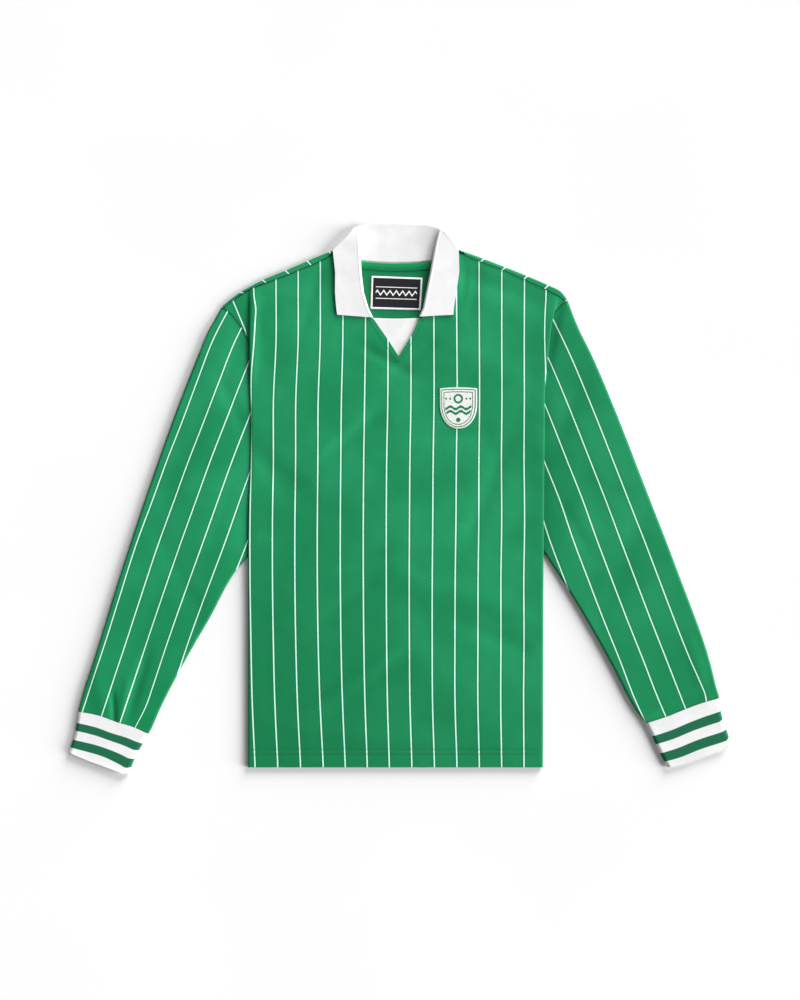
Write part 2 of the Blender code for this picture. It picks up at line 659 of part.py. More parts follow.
def flat_tube(name, plan, gap, height, thickness, colour, roughness, reach):
    """A flattened tube from a grid of plan points, with its gap to the nearest edge and its height."""
    top = height * rounded_top(gap, reach)
    bottom = height * rounded_bottom(gap)
    width = np.linalg.norm(plan[:, -1] - plan[:, 0], axis=-1)[:, None, None]
    centre = 0.5 * (plan[:, :1] + plan[:, -1:])
    plan_in = centre + (plan - centre) * (1 - 2 * thickness / width * narrowing(plan))
    squeeze = (height - 2 * thickness) / height

    def ring(points, upper, lower):
        over = np.dstack([points, upper])
        under = np.dstack([points, lower])[:, -2:0:-1]
        return np.concatenate([over, under], axis=1)

    outer = ring(plan, top, bottom)
    inner = ring(plan_in, thickness + top * squeeze, thickness + bottom * squeeze)
    return wall(name, outer, inner, colour, roughness, closed=True)


def narrowing(plan):
    """How much more than square-on the wall must move in, where a ring runs aslant to the tube's edges."""
    middle = 0.5 * (plan[:, 0] + plan[:, -1])
    axis = np.gradient(middle, axis=0)
    ring = plan[:, -1] - plan[:, 0]
    cosine = np.abs(np.cross(axis, ring)) / (np.linalg.norm(axis, axis=1) * np.linalg.norm(ring, axis=1))
    return (1 / np.clip(cosine, 0.35, 1))[:, None, None]


def sleeve(side, sign):
    """A sleeve: a flattened tube between its outer and inner folds, from the armhole to the cuff."""
    plan = coons(
        along(ARMHOLE[side], ACROSS),
        along(CUFF_SEAM[side], ACROSS),
        along(SLEEVE_OUTER[side], SLEEVE_STATIONS),
        along(SLEEVE_INNER[side], SLEEVE_STATIONS),
        ACROSS,
        SLEEVE_STATIONS,
    )
    gap = np.minimum(distance_to(plan, SLEEVE_OUTER[side]), distance_to(plan, SLEEVE_INNER[side]))
    gap[:, [0, -1]] = 0
    clear = np.minimum(distance_to(plan, ARMHOLE[side]), sign * (fold_x(side, plan[..., 1]) - plan[..., 0]))
    height = ARMHOLE_HEIGHT + (SLEEVE_HEIGHT - ARMHOLE_HEIGHT) * ease((clear - 2) / 45)
    return flat_tube("sleeve_" + side, plan, gap, height, CLOTH, GREEN, 0.75, 9.0)


def cuff(side):
    """A rib cuff: a flattened tube from the sleeve's end to its own."""
    start, end = along(CUFF_SEAM[side], ACROSS), along(CUFF_END[side], ACROSS)
    down = end - start
    start = start + 1.3 * SEAM_GAP * down / np.linalg.norm(down, axis=1, keepdims=True)
    outer, inner = along(CUFF_OUTER[side], CUFF_STATIONS), along(CUFF_INNER[side], CUFF_STATIONS)
    outer[0], inner[0] = start[0], start[-1]
    plan = coons(start, end, outer, inner, ACROSS, CUFF_STATIONS)
    gap = np.minimum(distance_to(plan, outer), distance_to(plan, inner))
    height = np.full(gap.shape, CUFF_HEIGHT)
    return flat_tube("cuff_" + side, plan, gap, height, RIB, WHITE, 0.85, 8.0)


def collar():
    """The collar: one strip round the neck that lies flat at the back and turns over at the sides."""
    rows = [*COLLAR[RIGHT][::-1], COLLAR_BACK, *COLLAR[LEFT]]
    seam, fold, edge = (np.array([getattr(row, part) for row in rows]) for part in ("seam", "fold", "edge"))
    crown = np.array([[0.0, 0.0, row.crown] for row in rows])
    under, over = beside_fold(fold, seam, crown) - crown, beside_fold(fold, edge, crown) + crown
    keys = np.stack([seam, 0.5 * (seam + under), under, fold, over, 0.5 * (over + edge), edge], axis=1)
    steps = np.linalg.norm(np.diff(edge, axis=0), axis=1) + np.linalg.norm(np.diff(seam, axis=0), axis=1)
    known = np.concatenate([[0], np.cumsum(0.5 * steps)])
    wanted = [known[0]]
    for start, end in zip(known[:-1], known[1:]):
        count = int(np.ceil((end - start) / COLLAR_STEP))
        wanted += list(np.linspace(start, end, count + 1)[1:])
    sections = np.array(
        [np.interp(wanted, known, column) for column in keys.reshape(len(rows), -1).T]
    ).T.reshape(len(wanted), -1, 3)
    places = np.linspace(0, 6, 13)
    middle = np.array([through(section, places) for section in sections])
    normal = face_normals(middle)
    return wall("collar", middle + 0.5 * RIB * normal, middle - 0.5 * RIB * normal, WHITE, 0.85)


def beside_fold(fold, end, crown):
    """Points of the sections next to the fold line on the way to their end: a turn's radius away, or a share."""
    way = end - fold
    length = np.linalg.norm(way, axis=1, keepdims=True)
    radius = crown[:, 2:]
    return fold + way / length * np.where(radius > 0, np.minimum(1.1 * radius, 0.3 * length), 0.14 * length)


def plate(name, grid, low, thickness, colour, roughness):
    """A thin piece over a grid of plan points, from its lower height up."""
    outer = np.dstack([grid, low + thickness])
    inner = np.dstack([grid, low])
    return wall(name, outer, inner, colour, roughness)


def label():
    """The woven label on the inside of the back."""
    a, b, c, d = (np.array(corner) for corner in LABEL_CORNERS)
    s, t = np.linspace(0, 1, 4)[None, :, None], np.linspace(0, 1, 3)[:, None, None]
    grid = (1 - t) * ((1 - s) * a + s * b) + t * ((1 - s) * d + s * c)
    return plate("label", grid, np.full(grid.shape[:2], CLOTH + SEAM_GAP), TRIM, BLACK, 0.6)


def neck_tape():
    """The tape over the back neck seam, inside."""
    upper = along(TAPE_UPPER, np.linspace(0, 1, 13))
    grid = np.stack([upper, upper - (0, 0.5 * TAPE_DEPTH), upper - (0, TAPE_DEPTH)])
    return plate("neck_tape", grid, np.full(grid.shape[:2], CLOTH + SEAM_GAP), TRIM, TAPE_GREEN, 0.7)


def v_insert():
    """The triangle behind the V of the front."""
    down = np.linspace(0, 1, 5)[:, None]
    across = np.linspace(-1, 1, 5)[None, :]
    half = INSERT_HALF_TOP + (4.0 - INSERT_HALF_TOP) * down
    x = V_TIP[0] - 3.0 * (1 - down) + half * across
    y = INSERT_TOP + (INSERT_TIP_Y - INSERT_TOP) * down + 0 * across
    grid = np.dstack([x, y])
    return plate("v_insert", grid, np.full(grid.shape[:2], INSERT_LEVEL), CLOTH, WHITE, 0.8)


def badge():
    """The patch on the chest: a shield laid on the front's own face."""
    down = np.linspace(0, 1, 9)[:, None]
    across = np.linspace(-1, 1, 7)[None, :]
    half = 0.5 * BADGE_WIDTH * np.sqrt(1 - np.clip((down - 0.35) / 0.68, 0, 1) ** 2.4)
    x = BADGE_CENTRE[0] + half * across
    y = BADGE_CENTRE[1] + BADGE_HEIGHT * (0.5 - down) + 1.5 * (1 - across**2) * (1 - down) ** 4
    grid = np.dstack([x, y])
    return plate("badge", grid, front_height(x, y) + SEAM_GAP, TRIM, WHITE, 0.7)


def main():
    """Clears the scene and makes every piece."""
    for old in list(bpy.data.objects):
        bpy.data.objects.remove(old)
    front()
    back()
    for side, sign in ((RIGHT, 1), (LEFT, -1)):
        sleeve(side, sign)
        cuff(side)
    collar()
    v_insert()
    neck_tape()
    label()
    badge()


main()
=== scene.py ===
"""Looks of a long-sleeved football shirt that lies flat on its back, with its sleeves beside the body.

Each cut piece of cloth is drawn again over its plain solid as a finer wall, with its main creases, its
pinstripes, sewing and knit. The tables are in millimetres: x from the centre line, y from the hem,
z from the ground. +Y runs from the hem to the collar, and +X to the wearer's left.
"""

import logging
import math
from dataclasses import dataclass
from enum import Enum
from typing import Any, NamedTuple, Sequence

import bpy
import numpy as np
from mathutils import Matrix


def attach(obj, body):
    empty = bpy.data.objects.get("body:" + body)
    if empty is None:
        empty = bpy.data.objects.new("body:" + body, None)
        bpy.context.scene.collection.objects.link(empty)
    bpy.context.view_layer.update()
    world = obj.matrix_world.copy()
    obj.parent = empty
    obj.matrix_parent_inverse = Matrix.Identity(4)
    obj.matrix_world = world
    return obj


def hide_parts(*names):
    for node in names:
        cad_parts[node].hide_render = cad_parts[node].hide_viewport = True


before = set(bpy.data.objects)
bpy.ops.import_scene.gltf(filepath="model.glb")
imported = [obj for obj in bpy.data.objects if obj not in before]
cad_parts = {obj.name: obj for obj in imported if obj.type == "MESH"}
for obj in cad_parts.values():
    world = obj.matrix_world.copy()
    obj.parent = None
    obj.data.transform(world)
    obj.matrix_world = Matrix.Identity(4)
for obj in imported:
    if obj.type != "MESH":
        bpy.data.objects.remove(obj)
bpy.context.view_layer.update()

Array = np.ndarray
Rows = Sequence[Sequence[float]]
Pair = tuple[float, float]
Piece = bpy.types.Object
Material = bpy.types.Material
Tree = bpy.types.NodeTree
Node = bpy.types.Node
Socket = bpy.types.NodeSocket

MM = 0.001  # metres in a millimetre
PLAN_CENTRE = (3.1, 382.7)  # middle of the shirt's plan, which is the origin
LOG = logging.getLogger("shirt")

CLOTH = 1.2  # wall of the striped jersey
RIB = 2.0  # wall of the flat-knit rib
TRIM = 1.0  # wall of the label, tape and badge
SEAM_GAP = 0.3  # between a piece and what it lies on
TURN_GAP = 0.5  # between the body and a sleeve along the armhole
STRIP_GAP = 0.8  # between the front and the back's turned shoulders
FRONT_HEIGHT = 5.4  # of the front's face in the middle
NECK_HEIGHT = 5.2  # of the same beside the neck
SHOULDER_END_HEIGHT = 3.9  # of the same at the ends of the shoulders
SLEEVE_HEIGHT = 6.2  # of a sleeve's face, away from the body
ARMHOLE_HEIGHT = 3.4  # of the same at the armhole
CUFF_HEIGHT = 6.8
OVER_SLEEVE = ARMHOLE_HEIGHT + SEAM_GAP  # underside of the front where it lies on a sleeve
STRIPE_PITCH = 32.4  # from one pinstripe to the next
SHARP_ANGLE = 50.0  # degrees between faces past which their edge looks sharp
SHOULDER_ROW = 690.0  # height that stands for the end of the shoulder in the side table
HEM_LINES = (18.5, 25.7)  # the two rows of hem stitches
HEM_DIPS = (0.25, 0.35)  # how deep each row draws the cloth in
HEM_DIP_WIDTH = 2.2
FINE_DEPTH = 1.3  # how much deeper the front's fine creases are drawn than their table says


class Side(Enum):
    """The wearer's sides; the right one lies at -X."""

    RIGHT = "right"
    LEFT = "left"

    @property
    def inward(self) -> int:
        """Direction along X from this side into the body."""
        return 1 if self is Side.RIGHT else -1


RIGHT, LEFT = Side.RIGHT, Side.LEFT


class SideRow(NamedTuple):
    """The front's side folds at one height: x on each side, height of the underside, rise and turned width."""

    y: float
    right: float
    left: float
    base: float
    rise: float
    tuck: float


class NeckSection(NamedTuple):
    """One section of the collar: its seam, the line it turns over at, its free edge and the turn's bulge."""

    seam: tuple[float, float, float]
    fold: tuple[float, float, float]
    edge: tuple[float, float, float]
    crown: float


class Crease(NamedTuple):
    """A soft trough (negative depth) or ridge along a line."""

    x0: float
    y0: float
    x1: float
    y1: float
    width: float
    depth: float


class FoldShape(NamedTuple):
    """Eight points round a side fold of the front, from its hidden end to the face."""

    level: tuple[float, ...]  # shares of the face's height
    shift: tuple[float, ...]  # how far aside the inner face lies, in walls


# The front's side folds, from the hem up
SIDES = (
    SideRow(0, -212.6, 206.3, 0, 0.8, 6),
    SideRow(130, -212.6, 206.6, 0, 0.8, 6),
    SideRow(245, -212.6, 206.9, 0, 0.9, 6),
    SideRow(285, -212.6, 207, OVER_SLEEVE, 1.8, 2.4),
    SideRow(350, -212.2, 207.4, OVER_SLEEVE, 2.3, 1.9),
    SideRow(438, -208.8, 208.2, OVER_SLEEVE, 2.3, 1.9),
    SideRow(505, -208.4, 208.8, OVER_SLEEVE, 2.3, 1.9),
    SideRow(536, -209.8, 209, OVER_SLEEVE, 2.3, 1.9),
    SideRow(588, -210.9, 213.9, OVER_SLEEVE, 2.2, 1.9),
    SideRow(638, -211.1, 220.5, OVER_SLEEVE, 0.8, 1.9),
    SideRow(664, -211.2, 227, OVER_SLEEVE, 0, 1.9),
    SideRow(690, -211.2, 228, OVER_SLEEVE, 0, 1.9),
)
FOLD_RISE = {RIGHT: (0.3, 24), LEFT: (0.5, 18)}  # share of the side table's rise, and how far in it goes
TURNED = FoldShape((0, 0, 0.14, 0.45, 0.76, 0.92, 0.99, 1), (0, 0.5, 0.85, 1, 0.7, 0.2, 0, 0))
CUT_OFF = FoldShape((0, 0.12, 0.28, 0.45, 0.76, 0.92, 0.99, 1), (1, 1, 1, 1, 0.75, 0.25, 0, 0))
STEPPED = FoldShape((0, 0, 0.05, 0.4, 0.72, 0.9, 0.98, 1), (0, 0, 0.5, 1, 0.9, 0.4, 0, 0))
SLOPED = (0, 0.2, 0.4, 0.5, 0.55, 0.65, 0.8, 1)  # levels of a fold that lies open
CUT_OFF_ROW = {RIGHT: 604, LEFT: 648}  # where the turned strip ends at the armhole
# Rows of the front that start at the armhole's seam, and the share of its length where they do
SEAM_SHARES = {RIGHT: {626: 0.12, 648: 0.05, 664: 0.015}, LEFT: {664: 0.02}}

# Outlines from above. Armholes, folds and necklines run down, the cuffs' seams and ends run from the outer
# fold to the inner one, and the shoulders run from the armhole to the neck.
ARMHOLE = {
    RIGHT: (
        (-250.3, 653.9), (-239.3, 646.4), (-229, 634.5), (-219.7, 621), (-209.8, 599.7),
        (-200.6, 571.3), (-194.2, 528.7), (-191.3, 479), (-191.3, 429.3), (-193.5, 379.6),
        (-198.4, 339.8), (-201.3, 315.7),
    ),
    LEFT: (
        (241.2, 663.6), (233.9, 659.3), (227, 652.5), (216.2, 636), (207, 613.9), (199.2, 578.4),
        (192.1, 528.7), (188.5, 479), (187.8, 429.3), (189.2, 379.6), (193.5, 344.1), (197, 321.3),
    ),
}
SLEEVE_OUTER = {
    RIGHT: (
        (-250.3, 653.9), (-258.1, 639.4), (-268, 622.4), (-282.2, 588.3), (-309.2, 520.1),
        (-346.1, 417.9), (-391.6, 281.6), (-434.2, 145.3), (-445.5, 111.2), (-450.5, 92.7),
        (-453.8, 79.4),
    ),
    LEFT: (
        (241.2, 663.6), (250.3, 639.4), (257.4, 622.4), (274.4, 588.3), (304.2, 520.1), (344, 417.9),
        (396.5, 281.6), (444.8, 145.3), (453.3, 111.2), (457.2, 98.8),
    ),
}
SLEEVE_INNER = {
    RIGHT: (
        (-201.3, 315.7), (-213.4, 299.3), (-228.3, 281.6), (-266.6, 213.4), (-305.7, 145.3),
        (-340.4, 77.1), (-348.3, 58.6), (-353.7, 47.7),
    ),
    LEFT: (
        (197, 321.3), (208, 304.7), (223.3, 281.6), (265.9, 213.4), (304.2, 145.3), (341.2, 77.1),
        (352.1, 62.6),
    ),
}
CUFF_SEAM = {
    RIGHT: ((-453.8, 79.4), (-436.2, 76.7), (-420.2, 72.7), (-402.6, 65.9), (-374.5, 57.2), (-353.7, 47.7)),
    LEFT: ((457.2, 98.8), (437.3, 93.4), (410.6, 83.9), (382.9, 72.7), (352.1, 62.6)),
}
CUFF_OUTER = {
    RIGHT: ((-453.8, 79.4), (-457.9, 51.8), (-465.1, 28.3), (-467.8, 21.7)),
    LEFT: ((457.2, 98.8), (459, 79.4), (466.7, 53.7), (474.1, 33.8)),
}
CUFF_INNER = {
    RIGHT: ((-353.7, 47.7), (-362.7, 32.8), (-374.8, 10.1), (-380.4, -7)),
    LEFT: ((352.1, 62.6), (361.2, 44.2), (372.5, 20.2), (383.2, -0.1)),
}
CUFF_END = {
    RIGHT: ((-467.8, 21.7), (-440.7, 10.1), (-416.3, 1.1), (-398.5, -5.6), (-388.4, -8.9), (-380.4, -7)),
    LEFT: (
        (474.1, 33.8), (470.9, 28.8), (465, 26), (450, 20.6), (434.6, 15.4), (407.3, 5.4), (383.2, -0.1),
    ),
}
FRONT_TOP = {
    RIGHT: (
        (-246, 653.2), (-234.5, 662.2), (-223, 671), (-205.1, 680.6), (-170.9, 693.5),
        (-138.2, 706.6), (-107.3, 719.6), (-91, 728.6),
    ),
    LEFT: (
        (236.6, 662.4), (229.8, 667.5), (210.2, 678), (180.1, 691.9), (148.3, 706.1), (117.4, 717.5),
        (90, 729.2),
    ),
}
FRONT_NECK = {
    RIGHT: (
        (-84, 727.2), (-76.2, 722.5), (-68.6, 703), (-64.5, 688), (-59.5, 673), (-54, 661.5),
        (-48.6, 650.8), (-42.9, 640.8),
    ),
    LEFT: (
        (83, 728), (75.6, 722.5), (67.8, 703), (63.5, 688), (58, 673), (52, 661.5),
        (45.2, 650.8), (38.2, 640.8),
    ),
}
V_EDGE = {
    RIGHT: ((-34.5, 637), (-24.5, 622.5), (-14.3, 607.9), (-6, 595)),
    LEFT: ((30.4, 637), (26.6, 627.5), (21.7, 617.4), (11, 599.5)),
}
V_TIP = (1.3, 583.5)
SHOULDER_EDGE = {
    RIGHT: (
        (-249.4, 655.2), (-242.6, 660.9), (-223, 675.4), (-207.5, 684.2), (-191.3, 692.5),
        (-158.7, 706), (-127.7, 719.4), (-110.5, 726.8), (-99.5, 731.2),
    ),
    LEFT: (
        (240.6, 665.2), (231.4, 676.2), (215.2, 684.3), (185, 697.4), (154, 710), (123, 721.9),
        (104.5, 728.8), (98, 731),
    ),
}
BACK_NECK = {
    RIGHT: (
        (-94.2, 733.3), (-88, 734.6), (-81, 729.8), (-72, 724.4), (-62.1, 720), (-47.9, 717.1),
        (-28, 716.3),
    ),
    LEFT: (
        (92.4, 733.2), (86.8, 734.7), (79.5, 730.6), (72, 724.4), (61.4, 720), (47.2, 717.1),
        (27.3, 716.3),
    ),
}
BACK_NECK_MIDDLE = (0, 715.7)

# The collar's strip from the middle of the back round to the V, on both sides
COLLAR_BACK = NeckSection((0, 718.2, 1.2), (0, 744, 1.6), (0, 771.5, 2.6), 0)
COLLAR = {
    RIGHT: (
        NeckSection((-28, 718.7, 1.2), (-28, 744.2, 1.9), (-28, 771.5, 2.8), 0),
        NeckSection((-47.9, 720.6, 1.2), (-50.5, 745, 2.7), (-50.8, 771.1, 3.8), 0),
        NeckSection((-66, 723.4, 1.2), (-60, 747, 3), (-56, 768.9, 4.2), 0),
        NeckSection((-82.5, 732.8, 1.3), (-69.5, 749, 2.6), (-57.8, 767.8, 4.6), 0),
        NeckSection((-87, 735.2, 1.7), (-74.2, 750.2, 2.8), (-59.2, 767.4, 5), 0),
        NeckSection((-88.4, 736.4, 2.9), (-75.2, 750.9, 3.7), (-60.4, 766.6, 5.6), 0),
        NeckSection((-87, 734.8, 4.2), (-73.4, 749.8, 4.8), (-61.9, 764.9, 6.4), 0),
        NeckSection((-84.6, 732.4, 4.5), (-66, 757, 5.6), (-63.4, 763.6, 7), 0),
        NeckSection((-82, 729.8, 4.6), (-57.6, 763, 6.8), (-65.6, 761.4, 8.4), 1.2),
        NeckSection((-78.9, 726.6, 4.6), (-54.9, 745, 6.8), (-77.5, 748.5, 8.4), 1.6),
        NeckSection((-75.2, 721.6, 4.6), (-54, 733, 6.6), (-92.2, 734.3, 7.5), 1.5),
        NeckSection((-67.1, 703.3, 4.6), (-52.3, 700.5, 6.6), (-88.8, 703, 7.1), 1.5),
        NeckSection((-57.9, 673.5, 4.6), (-48.9, 673.1, 6.6), (-89, 673.5, 7.1), 1.5),
        NeckSection((-46.5, 651.5, 4.6), (-42.2, 651, 6.5), (-87.4, 653.6, 7.1), 1.3),
        NeckSection((-41.6, 640.2, 4.7), (-36.3, 638.8, 6.2), (-86, 642.6, 7.1), 1),
    ),
    LEFT: (
        NeckSection((27.3, 718.7, 1.2), (27.3, 744, 1.9), (27.3, 771, 2.8), 0),
        NeckSection((47.2, 720.6, 1.2), (50, 743.5, 2.7), (51.5, 768.6, 3.8), 0),
        NeckSection((65, 723.4, 1.2), (60, 745, 3), (58, 766, 4.2), 0),
        NeckSection((80.4, 732.8, 1.3), (69, 748, 2.6), (60.4, 765, 4.6), 0),
        NeckSection((84.6, 735.4, 1.7), (73.6, 749.2, 2.8), (62.2, 764.6, 5), 0),
        NeckSection((86, 736.6, 2.9), (74.6, 749.9, 3.7), (63.6, 763.6, 5.6), 0),
        NeckSection((84.6, 735, 4.2), (72.8, 748.8, 4.8), (65.2, 762, 6.4), 0),
        NeckSection((82.4, 732.6, 4.5), (66.4, 755.6, 5.6), (65.6, 761.2, 7), 0),
        NeckSection((80, 730, 4.6), (58.6, 762.2, 6.8), (67.2, 759.6, 8.3), 1.2),
        NeckSection((77.6, 726.8, 4.6), (54.6, 745.5, 6.6), (77.5, 748.5, 8.1), 1.4),
        NeckSection((74.4, 721.6, 4.6), (51.5, 730, 6.6), (86.6, 733.6, 7.5), 1.5),
        NeckSection((66.4, 703.3, 4.6), (46.2, 700.3, 6.6), (87.3, 703, 7.1), 1.5),
        NeckSection((56.4, 673.5, 4.6), (40.7, 673.1, 6.6), (83, 673.5, 7.1), 1.5),
        NeckSection((43, 651.5, 4.6), (36.6, 652, 6.5), (79.8, 653.6, 7.1), 1.3),
        NeckSection((37.2, 640.4, 4.7), (31.3, 640, 6.4), (79, 642.6, 7.1), 1.2),
    ),
}
LABEL_CORNERS = ((-37.4, 698.2), (35.3, 695.5), (32.6, 649.4), (-38.7, 651.4))
TAPE_UPPER = (
    (-60, 721), (-47, 718.4), (-28, 716.6), (0, 715.6), (27, 716.6), (47, 718.4), (59.5, 721),
)

# Large creases of the front, which the solids have too: x and y of both ends, width and depth
CREASES = (
    Crease(-95, 108, -18, 152, 11, 0.7), Crease(-80, 92, -20, 122, 13, -0.9),
    Crease(-190, 425, -160, 392, 22, -0.8), Crease(-88, 450, -40, 486, 11, -0.6),
    Crease(105, 345, 150, 440, 20, -0.6), Crease(-190, 688, -120, 690, 14, -0.5),
    Crease(110, 686, 190, 680, 14, -0.5), Crease(-30, 560, 30, 560, 14, -0.5),
    Crease(-60, 230, 90, 300, 30, -0.6), Crease(-207, 580, -206, 656, 7, 1.9),
)

# Finer creases than the solids have
FRONT_CREASES = (
    Crease(-88, 452, -44, 488, 9, -0.8), Crease(-100, 458, -60, 492, 9, 0.5),
    Crease(-188, 428, -150, 398, 16, -0.9), Crease(-64, 288, -34, 298, 9, -1),
    Crease(-84, 226, -52, 250, 9, -1), Crease(-72, 118, -22, 150, 9, 1.2),
    Crease(-66, 100, -30, 122, 9, -0.9), Crease(112, 350, 140, 430, 13, -0.8),
    Crease(62, 470, 112, 474, 9, -0.8), Crease(-196, 664, -130, 690, 12, -0.8),
    Crease(118, 690, 190, 662, 12, -0.8), Crease(-130, 640, -112, 700, 9, -0.6),
    Crease(104, 650, 112, 704, 9, -0.6), Crease(-30, 586, 4, 566, 8, -0.9),
    Crease(4, 566, 34, 590, 8, -0.8), Crease(-160, 560, -60, 610, 16, 0.5),
    Crease(150, 560, 60, 610, 16, 0.5), Crease(-190, 330, -120, 350, 14, -0.6),
    Crease(60, 250, 150, 225, 17, 0.6), Crease(100, 200, 170, 170, 12, -0.6),
    Crease(-150, 180, -90, 200, 15, -0.5), Crease(-10, 380, 60, 400, 20, -0.5),
    Crease(-140, 52, -60, 46, 12, 0.5), Crease(40, 60, 130, 74, 15, -0.5),
    Crease(94, 676, 97, 706, 3, -0.8),
)
SLEEVE_CREASES = {
    RIGHT: (
        Crease(-402.5, 66, -404, 96, 3.4, -1.9), Crease(-394, 66, -386, 110, 6, 0.9),
        Crease(-420, 88, -436, 170, 12, 0.8), Crease(-375, 98, -362, 142, 8, -1.7),
        Crease(-300, 250, -340, 330, 14, -0.7), Crease(-245, 536, -228, 500, 10, -0.9),
        Crease(-270, 470, -300, 400, 15, 0.6), Crease(-245, 380, -262, 330, 11, -0.6),
        Crease(-350, 230, -372, 180, 12, -0.6), Crease(-230, 600, -240, 560, 9, -0.6),
    ),
    LEFT: (
        Crease(379, 80, 402, 91, 4.5, -1.3), Crease(384, 94, 408, 104, 6, 0.6),
        Crease(436, 112, 448, 119, 4.5, -0.8), Crease(229, 646, 217, 590, 5, -0.8),
        Crease(300, 250, 336, 330, 14, -0.6), Crease(250, 520, 232, 480, 12, -0.7),
        Crease(280, 430, 300, 380, 14, 0.6), Crease(420, 160, 432, 120, 10, 0.7),
        Crease(240, 360, 262, 320, 10, -0.6),
    ),
}
BACK_CREASES = (
    Crease(-120, 90, -20, 140, 12, 0.7), Crease(40, 200, 150, 250, 15, 0.6),
    Crease(-160, 330, -80, 300, 13, 0.7), Crease(90, 420, 150, 350, 12, 0.7),
    Crease(-60, 470, 30, 450, 15, 0.6), Crease(-150, 560, -60, 610, 14, 0.7),
    Crease(60, 610, 150, 560, 13, 0.6), Crease(-40, 230, -20, 330, 14, 0.5),
)

# Where the pinstripes run: y, then x of every third stripe across the body
BODY_STRIPES = (0, 3, 6, 9, 12)
BODY_STRIPE_ROWS = (
    (4.7, -202.7, -105.9, -12, 84.1, 179.3), (95.6, -206.7, -110.5, -14.7, 81.3, 178.7),
    (180.8, -208.5, -113.1, -15.8, 81.2, 179.3), (266, -209.7, -114.2, -16.3, 81.6, 179),
    (351.2, -209.7, -114.2, -16.3, 82.7, 180.1), (436.4, -208.2, -113.4, -15.7, 83.3, 179.3),
    (521.6, -208.2, -113, -14.1, 84.4, 179.7), (606.8, -204.1, -110.1, -13.8, 84, 179.6),
    (677.8, -204.3, -110, -13.3, 83.4, 180),
)
# How far single stripes wander where the cloth turns or gathers: stripe, then rows of y and dx. The cloth
# beside the stripe goes with it, less and less up to about this share of the pitch
WANDER_REACH = 0.4
BODY_WANDER = (
    (0, (
        (520, 0), (560, -1.3), (599.7, 0), (630, 1.5), (653.7, 2.6), (667.4, 0.4), (679, -0.2),
        (700, 0),
    )),
    (13, (
        (500, 0), (540, -1.2), (566, -1.6), (600, -2.8), (622, -3.2), (642, -2.8), (666, -1.7),
        (690, -1.7),
    )),
)
SLEEVE_WANDER = {
    RIGHT: (3, ((0, -9), (58.6, -7), (72, -3), (86, -0.6), (110, 0), (130, 0))),
    LEFT: (0, ((60, 0), (92, 0), (104, 2.4), (122, 2), (150, 0.5), (180, 0))),
}
# The same for the sleeves: y, then x of two stripes three apart, the outer one first
SLEEVE_STRIPE_ROWS = {
    RIGHT: (
        (38.8, -461.1, -373), (81.4, -446.9, -358.8), (124, -433, -344.6),
        (180.8, -414.1, -325.7), (237.6, -396.3, -305.9), (322.8, -369.1, -275.3), (379.6, -348, -255.1),
        (436.4, -327.4, -234.7), (493.2, -305.2, -212.8), (550, -284.1, -190.4), (606.8, -262.3, -166.5),
        (663.6, -233.2, -137.4),
    ),
    LEFT: (
        (38.8, 459, 364), (66, 448.5, 350.8), (95.6, 437.1, 337.2), (152.4, 414.9, 315.2),
        (209.2, 392.8, 292.4), (266, 371.3, 270.6), (322.8, 349.8, 249.3), (379.6, 327.5, 230),
        (436.4, 305.4, 207.4),
        (493.2, 283.1, 185.2), (521.6, 271.6, 173.9), (578.4, 247.8, 149.5), (635.2, 221.2, 121.6),
    ),
}
# x of the back's stripes along its shoulder edge, from which they run down the back, and their numbers
BACK_STRIPES = (
    (-223, 0), (-191.3, 1), (-158.7, 2), (-127.7, 3), (121.6, 11), (152.4, 12), (183.2, 13),
    (213.2, 14),
)
BACK_OUTER_PITCH = {RIGHT: 32, LEFT: 31.0}  # between the back's stripes beyond the last ones of the table
# Start and end of the cuffs' two bands in the material, and where these four edges lie on the cuff: shares
# of the way from seam to end, at the outer fold, the middle and the inner fold
BAND_EDGES = (0.28, 0.46, 0.66, 0.85)
BAND_SHARES = {
    RIGHT: ((0.272, 0.460, 0.682, 0.876), (0.267, 0.434, 0.62, 0.808), (0.262, 0.452, 0.662, 0.882)),
    LEFT: ((0.268, 0.460, 0.665, 0.856), (0.28, 0.456, 0.652, 0.842), (0.296, 0.474, 0.677, 0.869)),
}


# ---------------------------------------------------------------- lines and surfaces


def smooth(known: Sequence[float], values: Any, wanted: Any) -> Array:
    """Cubic interpolation that passes through the values at the known, rising places.

    Args:
        known: places of the values.
        values: one number or point for each place.
        wanted: places to work out.

    Returns:
        A number or point for each wanted place.
    """
    known, values = np.asarray(known, float), np.asarray(values, float)
    wanted = np.atleast_1d(np.asarray(wanted, float))
    if values.ndim == 1:
        return smooth(known, values[:, None], wanted)[:, 0]
    slope = np.gradient(values, known, axis=0)
    i = np.clip(np.searchsorted(known, wanted, side="right") - 1, 0, len(known) - 2)
    span = (known[i + 1] - known[i])[:, None]
    s = (wanted - known[i])[:, None] / span
    start, end = values[i], values[i + 1]
    return (
        (2 * s**3 - 3 * s**2 + 1) * start
        + (s**3 - 2 * s**2 + s) * span * slope[i]
        + (3 * s**2 - 2 * s**3) * end
        + (s**3 - s**2) * span * slope[i + 1]
    )


def lengths(points: Array) -> Array:
    """Distance of each point of a line from its start, along the line."""
    return np.concatenate([[0], np.cumsum(np.linalg.norm(np.diff(points, axis=0), axis=1))])


